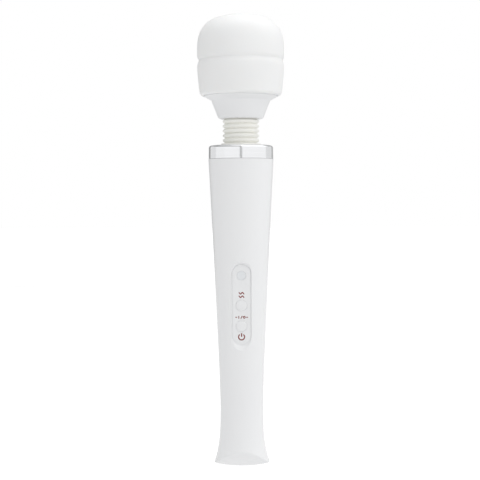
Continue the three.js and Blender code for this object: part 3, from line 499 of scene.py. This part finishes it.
def end_height(x, y):
    """Height of the rounded end face, flattened softly at its tip."""
    bowl = END_CURVE_X * x * x + END_CURVE_Y * y * y - END_FLAT_DEPTH
    return (bowl + math.sqrt(bowl * bowl + END_SOFTNESS)) / 2


def rim_at(angle_at):
    """Radius, height and angle where a column of the handle's skin meets the end face."""
    z = TAIL_RIM_Z
    for _ in range(40):  # each pass brings the height closer to where the two surfaces meet
        radius = handle_radius(z)
        angle = angle_at(z)
        z = end_height(radius * math.sin(angle), radius * math.cos(angle))
    return radius, z, angle


PANEL_TILT = math.atan2(
    handle_radius(PANEL_Z + PANEL_HALF_LENGTH) - handle_radius(PANEL_Z - PANEL_HALF_LENGTH),
    2 * PANEL_HALF_LENGTH)
PANEL_ORIGIN = Vector((0, PANEL_DEPTH - handle_radius(PANEL_Z), PANEL_Z))
ACROSS = Vector((1, 0, 0))
ALONG = Vector((0, -math.sin(PANEL_TILT), math.cos(PANEL_TILT)))
OUTWARD = Vector((0, -math.cos(PANEL_TILT), -math.sin(PANEL_TILT)))


def on_panel(u, v, w):
    """A point given across, along and out of the panel's face."""
    return PANEL_ORIGIN + u * ACROSS + v * ALONG + w * OUTWARD


def panel_v(z):
    """How far along the panel a height lies."""
    return (z - PANEL_Z) / math.cos(PANEL_TILT)


def inside_racetrack(u, v, half_width, half_length, shift=0):
    """How far a point lies inside a racetrack's edge; negative outside."""
    past_end = max(abs(v - shift) - (half_length - half_width), 0)
    return half_width - math.hypot(u, past_end)


def recessed(x, y, z, floor, margin):
    """How far back a point of the front skin lies once the panel's recess is pressed into it."""
    v = panel_v(z)
    outside = inside_racetrack(x, v, PANEL_HALF_WIDTH + margin, PANEL_HALF_LENGTH + margin)
    if outside <= 0:
        return y
    inner = max(0, -inside_racetrack(
        x, v, INSERT_HALF_WIDTH + margin, INSERT_HALF_LENGTH + margin, INSERT_SHIFT))
    mix = outside / (outside + inner)
    mix = mix * mix * (3 - 2 * mix)
    floor_y = PANEL_ORIGIN.y - (z - PANEL_Z) * math.tan(PANEL_TILT) - floor / math.cos(PANEL_TILT)
    return y + (max(y, floor_y) - y) * mix


def shell_columns(front):
    """The skin's columns, each a function giving its angle from the shell's middle at a height."""
    middle = []
    if front:
        floor = spaced(-INSERT_HALF_WIDTH, INSERT_HALF_WIDTH, 52)
        wall = [6.6, 6.7, 6.8, 6.9, 7.0, 7.12, 7.4, 8.0, 9.0]  # close where the wall is steep
        middle = sorted(floor + wall + [-x for x in wall])
    widest = middle[-1] if middle else 0

    def side_column(side, share):
        def angle_at(z):
            start = math.asin(widest / handle_radius(z))
            last = math.acos(SEAM / 2 / handle_radius(z))
            return side * (start + (last - start) * share)
        return angle_at

    side_steps = 22 if front else 48
    shares = [i / side_steps for i in range(1, side_steps + 1)]
    left = [side_column(-1, share) for share in reversed(shares)]
    right = [side_column(1, share) for share in shares]
    columns = [lambda z, x=x: math.asin(x / handle_radius(z)) for x in middle]
    return left + (columns or [side_column(1, 0)]) + right


def shell_heights(front):
    """Heights of the skin's rows above the tail, close together at the ends of the recess."""
    if not front:
        return spaced(ROWS_START, SHELL_END, 60)
    low, high = PANEL_Z - PANEL_HALF_LENGTH, PANEL_Z + PANEL_HALF_LENGTH
    return [*spaced(ROWS_START, low - 2, 22), *spaced(low - 1, low + 9.5, 35),
            *spaced(low + 11, high - 10, 28), *spaced(high - 8.5, high + 1, 32),
            *spaced(high + 2.5, SHELL_END, 26)]


def shell_section(angle_at, front, heights, edge_drop):
    """One column's closed section: down the skin, round the tail's edge and up the inside."""
    facing = -1 if front else 1

    def point(radius, angle, z, floor=RECESS_FLOOR, margin=0):
        x, y = radius * math.sin(angle), radius * math.cos(angle)
        if front:
            y = -recessed(x, -y, z, floor, margin)
        return (x, facing * y, z)

    radius, rim_z, angle = rim_at(angle_at)
    tail_rows = spaced(rim_z + CORNER, heights[0], 9)[:-1]
    rows = tail_rows + heights
    outer = [point(handle_radius(z) - edge_drop, angle_at(z), z) for z in reversed(rows)]
    start = Vector(outer[-1])
    corner = Vector(point(radius, angle, rim_z))

    def on_end_face(inset):
        x, y = (radius - inset) * math.sin(angle), (radius - inset) * math.cos(angle)
        return Vector((x, facing * y, end_height(x, y)))

    finish = on_end_face(CORNER)
    bend = [(1 - t) ** 2 * start + 2 * t * (1 - t) * corner + t * t * finish
            for t in spaced(0, 1, 7)[1:]]
    rim = on_end_face(RIM_WIDTH)
    outer += [tuple(p) for p in [*bend, rim]]
    back = [(rim.x, rim.y, rim.z + share * WALL) for share in spaced(0, 1, 8)[1:]]
    inner_start = rim_z + CORNER + 3
    inner = [point(handle_radius(z) - WALL, angle_at(z), z, TRAY_UNDERSIDE, TRAY_MARGIN)
             for z in rows if z > inner_start]
    # the inside gets as many points as the outside, so that four-sided faces close the cut ends
    while len(back) + len(inner) < len(outer):
        back.append(tuple(Vector(back[-1]) + (Vector(inner[0]) - Vector(back[-1])) * 0.3))
    return outer + back + inner


def handle_shell(name, front):
    """One half of the handle, from its columns' sections side by side."""
    heights = shell_heights(front)
    columns = shell_columns(front)
    last = len(columns) - 1
    sections = [shell_section(angle_at, front, heights, SEAM_DROP if i in (0, last) else 0)
                for i, angle_at in enumerate(columns)]
    count = len(sections[0])
    verts = [p for section in sections for p in section]
    faces = []
    for c in range(last):
        for i in range(count):
            j = (i + 1) % count
            here, there = c * count, (c + 1) * count
            faces.append((here + i, here + j, there + j, there + i))
    for c in (0, last):
        for i in range(count // 2 - 1):
            faces.append(tuple(c * count + k for k in (i, i + 1, count - 2 - i, count - 1 - i)))
    return mesh_object(name, verts, faces)


def prism(name, loop, bottom, top):
    """A straight cutter in the panel's frame."""
    count = len(loop)
    verts = [on_panel(u, v, w) for w in (bottom, top) for u, v in loop]
    sides = [(i, (i + 1) % count, count + (i + 1) % count, count + i) for i in range(count)]
    return mesh_object(name, verts, [*sides, tuple(range(count)), tuple(range(count, 2 * count))])


def build_shells(plastic):
    """The two halves of the handle. The front one has the insert's pocket and its windows."""
    front = handle_shell("handle_shell_front", True)
    floor = -INSERT_THICKNESS - UNDER_INSERT
    pocket = racetrack_loop(INSERT_HALF_WIDTH + FITTED_GAP, INSERT_HALF_LENGTH + FITTED_GAP,
                            INSERT_SHIFT)
    windows = ((MODE_BUTTON_Z, BUTTON_WINDOW), (POWER_BUTTON_Z, BUTTON_WINDOW),
               (LAMP_Z, LAMP_WINDOW))
    cutters = [prism("pocket", pocket, floor, 1)]
    for z, radius in windows:
        cutters.append(prism("window", circle_loop(0, panel_v(z), radius), floor - 2.5, 0))
    cut_away(front, cutters)
    dress(front, plastic, "handle", "shell_plastic", "handle_front_shell")
    rear = handle_shell("handle_shell_rear", False)
    dress(rear, plastic, "handle", "shell_plastic", "handle_rear_shell")


def tail_face(name):
    """The rounded end face: rings of points out to its rounded edge, then its back."""
    count, rings, edge_rings, edge = 144, 22, 4, 0.3
    verts, faces = [(0, 0, end_height(0, 0))], []
    for ring in range(1, rings + edge_rings + 1):
        turned = math.pi / 2 * max(ring - rings, 0) / edge_rings
        inset = edge * (1 - math.sin(turned))
        lift = edge * (1 - math.cos(turned))
        for i in range(count):
            angle = TURN * i / count
            radius = rim_at(lambda z, a=angle: a)[0] - RIM_WIDTH - SEAM
            reach = (radius - inset) * min(ring / rings, 1)
            x, y = reach * math.sin(angle), reach * math.cos(angle)
            verts.append((x, y, end_height(x, y) + lift))
    outer_rings = rings + edge_rings
    top = len(verts)
    for ring in (outer_rings, rings // 2):
        for i in range(count):
            x, y, _ = verts[1 + (ring - 1) * count + i]
            verts.append((x, y, end_height(x, y) + END_CAP_THICKNESS))
    centre = len(verts)
    verts.append((0, 0, END_CAP_THICKNESS))
    starts = [1 + (ring - 1) * count for ring in range(1, outer_rings + 1)] + [top, top + count]
    for low, high in pairwise(starts):
        faces += [(low + i, low + (i + 1) % count, high + (i + 1) % count, high + i)
                  for i in range(count)]
    faces += [(0, 1 + i, 1 + (i + 1) % count) for i in range(count)]
    faces += [(centre, starts[-1] + i, starts[-1] + (i + 1) % count) for i in range(count)]
    return mesh_object(name, verts, faces)


def build_tail(plastic, brass):
    """The end face with its two charging pins."""
    face = tail_face("tail_face")
    holes = []
    for name in ("left", "right"):
        low, high = box_mm(f"charge_pin_{name}")
        x = (low[0] + high[0]) / 2
        radius = (high[0] - low[0]) / 2
        bore = radius + 0.15
        hole = revolved("hole", [(0, -2), (bore, -2), (bore, 8), (0, 8)], 48)
        hole.location.x = x * MM
        holes.append(hole)
        pin = revolved(f"charge_contact_{name}", rounded([
            (0, low[2]), (radius, low[2], 0.35), (radius, high[2]), (0, high[2])]), 48)
        pin.data.transform(Matrix.Translation((x * MM, 0, 0)))
        dress(pin, brass, "handle", "brass", f"charge_pin_{name}")
    bpy.context.view_layer.update()
    cut_away(face, holes)
    dress(face, plastic, "handle", "shell_plastic", "end_cap")


# ---------- Control panel ----------

def panel_insert(name):
    """The plate in the recess, with its two button holes and its lamp hole."""
    def outline(inset):
        return racetrack_loop(INSERT_HALF_WIDTH - inset, INSERT_HALF_LENGTH - inset, INSERT_SHIFT)

    def hole(z, radius):
        return lambda inset: circle_loop(0, panel_v(z), radius + inset)

    holes = [hole(MODE_BUTTON_Z, BUTTON_RADIUS + SLIDING_GAP),
             hole(POWER_BUTTON_Z, BUTTON_RADIUS + SLIDING_GAP),
             hole(LAMP_Z, LENS_RADIUS + FITTED_GAP)]
    return plate(name, outline, holes, -INSERT_THICKNESS, 0, 0.1, on_panel)


def stand_on_panel(obj, z):
    """Moves a piece turned about Z so that it stands out from the panel at a height."""
    turn = Matrix.Rotation(math.pi / 2 + PANEL_TILT, 4, "X")
    stand = Matrix.Translation(PANEL_ORIGIN * MM) @ turn
    obj.data.transform(stand @ Matrix.Translation((0, panel_v(z) * MM, 0)))
    return obj


def push_button(name, z):
    """A domed button with a flange under the insert and a stem for its switch."""
    flange_top = -INSERT_THICKNESS - UNDER_INSERT
    flange = BUTTON_RADIUS + 0.7
    stem, stem_end = 1.2, -3.6
    crown_angle, crown_foot, crown_spread = 1.2, 0.25, 0.93
    crown = [(BUTTON_RADIUS * math.sin(a) / math.sin(crown_angle) * crown_spread,
              crown_foot + (BUTTON_CROWN - crown_foot)
              * (math.cos(a) - math.cos(crown_angle)) / (1 - math.cos(crown_angle)))
             for a in spaced(crown_angle, 0, 12)]
    button = revolved(name, rounded([
        (0, stem_end), (stem, stem_end), (stem, flange_top - 1), (flange, flange_top - 1, 0.15),
        (flange, flange_top, 0.15), (BUTTON_RADIUS, flange_top), (BUTTON_RADIUS, 0.05, 0.1)])
        + crown[:-1] + [(0, BUTTON_CROWN)], 64)
    return stand_on_panel(button, z)


def lamp_window(name):
    """The lamp's lens, slightly dished."""
    rim, dish, middle = -0.12, -0.28, -0.32
    lens = revolved(name, rounded([
        (0, -INSERT_THICKNESS), (LENS_RADIUS, -INSERT_THICKNESS), (LENS_RADIUS, rim, 0.15),
        (LENS_RADIUS * 0.6, dish), (0, middle)]), 64)
    return stand_on_panel(lens, LAMP_Z)


def build_panel(satin, lens_material, ink):
    """The insert, its buttons, its lamp window and the red print on it."""
    dress(panel_insert("panel_insert"), satin, "handle", "satin_plastic", "button_panel")
    for name, z in (("mode", MODE_BUTTON_Z), ("power", POWER_BUTTON_Z)):
        body = f"{name}_button"
        dress(push_button(f"{name}_button_cap", z), satin, body, "satin_plastic", body)
    dress(lamp_window("lamp_window"), lens_material, "handle", "frosted_lens", "indicator_lens")
    for mark in (mode_mark(), power_legend(), power_mark()):
        dress(mark, ink, "handle", "red_ink")


def printed(name, shapes):
    """Thin red print on the panel. Each shape is an outline followed by its holes."""
    underside, top = 0.005, 0.03
    verts, faces = [], []
    for loops in shapes:
        for loop in loops:
            count = len(loop)
            low, high = len(verts), len(verts) + count
            verts += [on_panel(u, v, w) for w in (underside, top) for u, v in loop]
            faces += [(low + i, low + (i + 1) % count, high + (i + 1) % count, high + i)
                      for i in range(count)]
        points, triangles = filled(loops)
        for w in (underside, top):
            first = len(verts)
            verts += [on_panel(p[0], p[1], w) for p in points]
            faces += [tuple(first + i for i in triangle) for triangle in triangles]
    return mesh_object(name, verts, faces, sharp_angle=30)


def ribbon(path, width):
    """The outline of a band of even width along a path of points."""
    left, right = [], []
    for i, here in enumerate(path):
        before, after = path[max(i - 1, 0)], path[min(i + 1, len(path) - 1)]
        run = (Vector(after) - Vector(before)).normalized()
        side = Vector((-run.y, run.x)) * width / 2
        left.append(tuple(Vector(here) + side))
        right.append(tuple(Vector(here) - side))
    return left + right[::-1]


def moved(loop, du, dv):
    """The same loop, shifted."""
    return [(u + du, v + dv) for u, v in loop]


def rectangle(low_u, low_v, high_u, high_v):
    """A rectangle's outline."""
    return [(low_u, low_v), (high_u, low_v), (high_u, high_v), (low_u, high_v)]


def mode_mark():
    """Two wave lines."""
    wave_height, wave_length, reach, apart, width = 0.55, 2.6, 1.95, 1.2, 0.7
    wave = ribbon([(u, wave_height * math.sin(TURN * u / wave_length))
                   for u in spaced(-reach, reach, 36)], width)
    v = panel_v(MODE_MARK_Z)
    return printed("mode_mark", [[moved(wave, 0, v + dv)] for dv in (-apart, apart)])


def power_legend():
    """A dash, a line, a slash, a circle and a dash."""
    stroke, half_height, circle_u, dash = 0.6, 0.95, 1.9, 0.6
    line = rectangle(-circle_u - stroke / 2, -half_height, -circle_u + stroke / 2, half_height)
    slash = ribbon([(-0.5, -half_height), (0.5, half_height)], stroke)
    circle = [circle_loop(circle_u, 0, half_height),
              circle_loop(circle_u, 0, half_height - stroke)[::-1]]
    dashes = [[rectangle(u - dash, -stroke / 2, u + dash, stroke / 2)] for u in (-3.7, 3.9)]
    v = panel_v(LEGEND_Z)
    return printed("power_legend", [[moved(loop, 0, v) for loop in loops]
                                    for loops in [[line], [slash], circle, *dashes]])


def power_mark():
    """The standby symbol: an open ring and a bar."""
    stroke, radius, opening, bar_foot, bar_top = 0.8, 2.1, 0.62, 0.1, 2.7
    ring = ribbon([(radius * math.sin(a), radius * math.cos(a))
                   for a in spaced(opening, TURN - opening, 60)], stroke)
    bar = rectangle(-stroke / 2, bar_foot, stroke / 2, bar_top)
    v = panel_v(POWER_MARK_Z)
    return printed("power_mark", [[moved(ring, 0, v)], [moved(bar, 0, v)]])


# ---------- Collar and neck ----------

def build_collar(metal, satin):
    """The trim ring, and the cover inside it that closes the handle and holds the neck."""
    inside, lip_bottom = RING_RADIUS - RING_WALL, RING_TOP - RING_LIP_THICKNESS
    ring = revolved("collar_trim", rounded([
        (inside, RING_START, 0.1), (RING_RADIUS, RING_START, 0.15),
        (RING_RADIUS - 0.1, RING_TOP, RING_FILLET), (RING_LIP_RADIUS, RING_TOP, 0.25),
        (RING_LIP_RADIUS, lip_bottom, 0.1), (inside, lip_bottom, 0.1)], 8), 192)
    dress(ring, metal, "handle", "collar_metal", "collar_ring")
    low, high = box_mm("top_cover")
    rim, rim_top = RING_RADIUS - 1.7, RING_TOP - 1.5
    skirt = handle_radius(low[2]) - WALL - 0.3
    skirt_inside = skirt - 1.9
    shaft_hole, web = 7, NECK_Z - 6.3
    web_underside = web - 2.2
    lip = RING_LIP_RADIUS - SEAM
    cover = revolved("top_cover_disc", rounded([
        (shaft_hole, web_underside), (skirt_inside, web_underside), (skirt_inside, low[2]),
        (skirt, low[2]), (skirt, RING_BOTTOM), (rim, RING_BOTTOM), (rim, rim_top), (lip, rim_top),
        (lip, high[2], 0.3), (SOCKET_RADIUS, high[2], 0.2), (SOCKET_RADIUS, web),
        (shaft_hole, web)]), 160)
    dress(cover, satin, "handle", "satin_plastic", "top_cover")


def rib_radius(height):
    """Rounded crests and narrow roots, up the rubber neck."""
    swing = abs(math.cos(math.pi * (height - FIRST_RIB) / RIB_PITCH))
    return RIB_ROOT_RADIUS + RIB_HEIGHT * swing ** RIB_SHARPNESS


def ribs(low, high, count):
    """Points of the ribbed outline between two heights above the neck's foot."""
    return [(rib_radius(h), NECK_Z + h) for h in spaced(low, high, count)]


def build_neck(rubber):
    """The ribbed neck in two lengths that meet in a root."""
    foot, end = NECK_Z - 5.2, HEAD_Z + 3.9
    flange_bottom, flange_middle, flange_top = NECK_Z + 0.1, NECK_Z + 0.85, 1.75
    head_foot = HEAD_Z - 0.2
    flange = [(NECK_FLANGE_RADIUS + NECK_FLANGE_ROUND * math.cos(a),
               flange_middle + NECK_FLANGE_ROUND * math.sin(a)) for a in spaced(-1.4, 1.3, 10)]
    lower = revolved("neck_lower", [
        (NECK_BORE, foot), (SPIGOT_RADIUS, foot), (SPIGOT_RADIUS, flange_bottom),
        (NECK_FLANGE_RADIUS, flange_bottom), *flange, *ribs(flange_top + 0.1, NECK_SPLIT, 60),
        (NECK_BORE, NECK_Z + NECK_SPLIT)], sharp_angle=60)
    upper = revolved("neck_upper", [
        (NECK_BORE, NECK_Z + NECK_SPLIT), *ribs(NECK_SPLIT, HEAD_Z - NECK_Z - 0.2, 90),
        (SPIGOT_RADIUS, head_foot), (SPIGOT_RADIUS, end), (NECK_BORE, end)], sharp_angle=60)
    for part in (lower, upper):
        dress(part, rubber, None, "neck_rubber", "neck_boot")
    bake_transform(lower)
    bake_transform(upper)


# ---------- Head ----------

def build_cone(satin):
    """The lower housing: a cone, a flare to the lip under the cap, and the wall inside the cap."""
    outside = [(SOCKET_RADIUS, 0, 0.3), (15.75, 0, 2.0), (20.85, 13.0, 0.6), (23.0, 14.1, 0.5)]
    lip = [(25.8, 15.6, 0.3), (25.8, 16.4, 0.2)]
    wall = [(26.0, 16.7), (26.0, 25.6), (24.0, 25.6), (24.0, 21.6)]
    inside = [(20.5, 21.6), (20.5, 15.6), (15.5, 8.2), (7, 8.2), (7, 6.4), (SOCKET_RADIUS, 6.4)]
    profile = [(radius, HEAD_Z + height, *fillet)
               for radius, height, *fillet in outside + lip + wall + inside]
    cone = revolved("head_lower_housing", rounded(profile), 160)
    dress(cone, satin, "head", "satin_plastic", "head_cone")


def cap_radius(height):
    """The soft cap's swelling side with its shallow groove, then its flattened dome."""
    if height >= CAP_MAX_HEIGHT:
        rise = (height - CAP_MAX_HEIGHT) / (CAP_TOP - CAP_MAX_HEIGHT)
        return CAP_RADIUS * max(0, 1 - rise ** CAP_DOME_RISE_POWER) ** (1 / CAP_DOME_SPREAD_POWER)
    offset = height - GROOVE_HEIGHT
    spread = GROOVE_SPREAD_ABOVE if offset > 0 else GROOVE_SPREAD_BELOW
    below = max(0, (CAP_TAPER_START - height) / CAP_TAPER_LENGTH)
    groove = math.exp(-abs(offset / spread) ** 1.5)
    return CAP_RADIUS - CAP_TAPER * below ** 1.5 - GROOVE_DEPTH * groove


def build_cap(silicone):
    """The soft cap: its rounded lower corner, side and dome outside, and an even wall inside."""
    bottom = CAP_BOTTOM - CAP_OVERHANG
    side_foot = bottom + CAP_FILLET + 0.1
    centre = cap_radius(side_foot) - CAP_FILLET
    corner = [(centre + CAP_FILLET * math.cos(a), bottom + CAP_FILLET + CAP_FILLET * math.sin(a))
              for a in spaced(-1.35, -0.1, 14)]
    side = [(cap_radius(h), h) for h in spaced(side_foot, CAP_MAX_HEIGHT, 120)]
    rise = CAP_TOP - CAP_MAX_HEIGHT
    dome = [(cap_radius(h), h) for h in
            (CAP_MAX_HEIGHT + rise * math.sin(math.pi / 2 * i / 60) for i in range(1, 60))]
    shrink, lower = 1 - CAP_WALL / CAP_RADIUS, 1 - CAP_WALL / CAP_DOME_SCALE
    ceiling = [(r * shrink, CAP_MAX_HEIGHT + (h - CAP_MAX_HEIGHT) * lower) for r, h in dome[::6]]
    inside = [(0, CAP_MAX_HEIGHT + rise * lower), *ceiling[::-1],
              (CAP_RADIUS - CAP_WALL, CAP_MAX_HEIGHT), (CAP_BORE, 19.0),
              (CAP_BORE, bottom + 0.4), (CAP_BORE + 0.15, bottom + 0.15)]
    profile = [*inside, *corner, *side, *dome, (0, CAP_TOP)]
    cap = revolved("soft_cap", [(r, HEAD_Z + h) for r, h in profile], 192, 60)
    dress(cap, silicone, "head", "cap_silicone", "head_cap")


# ---------- Camera, floor and light ----------

CAMERA_PLACE = (0, -0.7827, 0.1918)  # in metres, as the aim and the tent's sizes are
CAMERA_AIM = (-0.0009, 0, 0.1612)
CAMERA_ROLL = -0.2
LENS = 82.5
SENSOR_WIDTH = 36

TENT_RADIUS = 1.7
TENT_HEIGHT = 0.16
FLOOR_REACH = 6
FLOOR_GLOW = 0.76
FLOOR_GREY = (0.4, 0.4, 0.4)
UNDER_GLOW = 0.88
UNDER_HEIGHT = -0.002
LEVEL = (-12, 22)
MIDDLE = (22, 46)
UPPER = (46, 68)
ROOF = (68, 89)
# each panel's radiance, its span of azimuth and its span of elevation
TENT = {
    "front_strip": (0.47, (-3.5, 3.5), LEVEL),
    "front_left": (0.98, (-60, -3.5), LEVEL),
    "front_right": (0.98, (3.5, 100), LEVEL),
    "side_left": (0.94, (-100, -60), LEVEL),
    "far_left": (0.8, (-140, -100), LEVEL),
    "side_right": (0.78, (100, 140), LEVEL),
    "back_left": (0.35, (-168, -140), LEVEL),
    "back_right": (0.5, (140, 168), LEVEL),
    "back": (0.8, (168, 192), LEVEL),
    "middle_left": (0.25, (-120, 0), MIDDLE),
    "middle_right": (1.3, (0, 120), MIDDLE),
    "middle_back": (0.45, (120, 240), MIDDLE),
    "upper_left": (0.75, (-180, 0), UPPER),
    "upper_right": (1.1, (0, 180), UPPER),
    "roof": (2.7, (-180, 180), ROOF),
}


def build_camera():
    """A little above the handle's middle, looking slightly down, as the photograph does."""
    data = bpy.data.cameras.new("camera")
    data.lens = LENS
    data.sensor_width = SENSOR_WIDTH
    camera = bpy.data.objects.new("camera", data)
    bpy.context.scene.collection.objects.link(camera)
    camera.location = CAMERA_PLACE
    facing = (Vector(CAMERA_AIM) - camera.location).to_track_quat("-Z", "Y")
    roll = Matrix.Rotation(math.radians(CAMERA_ROLL), 4, "Z")
    camera.matrix_world = Matrix.Translation(camera.location) @ facing.to_matrix().to_4x4() @ roll
    bpy.context.scene.camera = camera


def glowing(name, radiance, colour=(0, 0, 0)):
    """A material for the studio's own surfaces: an even glow over a diffuse colour."""
    material, _, _, shader, _ = new_material(name, 1.0)
    shader.inputs["Base Color"].default_value = (*colour, 1)
    shader.inputs["Specular IOR Level"].default_value = 0
    shader.inputs["Emission Color"].default_value = (1, 1, 1, 1)
    shader.inputs["Emission Strength"].default_value = radiance
    return material


def stage_mesh(name, verts, faces, material):
    """A mesh of the studio's own, kept out of the part."""
    mesh = bpy.data.meshes.new(name)
    mesh.from_pydata(verts, [], faces)
    mesh.materials.append(material)
    obj = bpy.data.objects.new(name, mesh)
    bpy.context.scene.collection.objects.link(obj)
    return obj


def tent_panel(name, radiance, azimuths, elevations):
    """One panel of the light tent. It lights and is reflected, and the camera doesn't see it.

    Azimuth 0 is behind the camera and 90 is on the object's +X side, in degrees.
    """
    steps = 16
    row = steps + 1
    verts = []
    for elevation in spaced(*map(math.radians, elevations), steps):
        for azimuth in spaced(*map(math.radians, azimuths), steps):
            verts.append((TENT_RADIUS * math.cos(elevation) * math.sin(azimuth),
                          -TENT_RADIUS * math.cos(elevation) * math.cos(azimuth),
                          TENT_HEIGHT + TENT_RADIUS * math.sin(elevation)))
    faces = [(low, low + 1, low + row + 1, low + row)
             for low in (r * row + c for r in range(steps) for c in range(steps))]
    panel = stage_mesh(name, verts, faces, glowing(name, radiance))
    panel.visible_camera = False


def square(name, height, material):
    """A wide level square of the studio's."""
    reach = FLOOR_REACH
    corners = [(x, y, height) for x, y in rectangle(-reach, -reach, reach, reach)]
    return stage_mesh(name, corners, [(0, 1, 2, 3)], material)


def build_stage():
    """A floor that only the camera sees, a dimmer panel just under it, and the light tent."""
    scene = bpy.context.scene
    scene.view_settings.view_transform = "Standard"
    floor = square("floor", 0, glowing("floor", FLOOR_GLOW, FLOOR_GREY))
    floor.visible_diffuse = floor.visible_glossy = floor.visible_shadow = False
    under = square("underside", UNDER_HEIGHT, glowing("underside", UNDER_GLOW))
    under.visible_camera = False
    world = bpy.data.worlds.new("world")
    scene.world = world
    world.use_nodes = True
    background = world.node_tree.nodes["Background"]
    background.inputs["Color"].default_value = (1, 1, 1, 1)
    background.inputs["Strength"].default_value = 1.0
    for name, (radiance, azimuths, elevations) in TENT.items():
        tent_panel(name, radiance, azimuths, elevations)


build_camera()
build_stage()

shell_plastic = moulded_plastic("shell_plastic", (0.866, 0.872, 0.882), (0.872, 0.878, 0.886),
                                0.24)
satin_plastic = moulded_plastic("satin_plastic", (0.848, 0.854, 0.864), (0.856, 0.862, 0.872),
                                0.42)
lens_plastic = moulded_plastic("lens_plastic", (0.78, 0.80, 0.82), (0.82, 0.84, 0.86), 0.25)
red_ink = moulded_plastic("red_ink", (0.2, 0.022, 0.014), (0.25, 0.03, 0.02), 0.5)
silicone = soft_silicone("cap_silicone", (0.87, 0.875, 0.875), (0.90, 0.905, 0.905))
rubber = neck_rubber("neck_rubber")
collar_metal = turned_metal("collar_metal")
pin_brass = inner_finish("pin_brass", (0.80, 0.62, 0.30), 0.25, 1.0, 500, 3e-6)

build_shells(shell_plastic)
build_tail(shell_plastic, pin_brass)
build_panel(satin_plastic, lens_plastic, red_ink)
build_collar(collar_metal, satin_plastic)
build_neck(rubber)
build_cone(satin_plastic)
build_cap(silicone)
finish_inner_nodes({part["node"] for part in frame["record"]["subparts"]} - replaced)
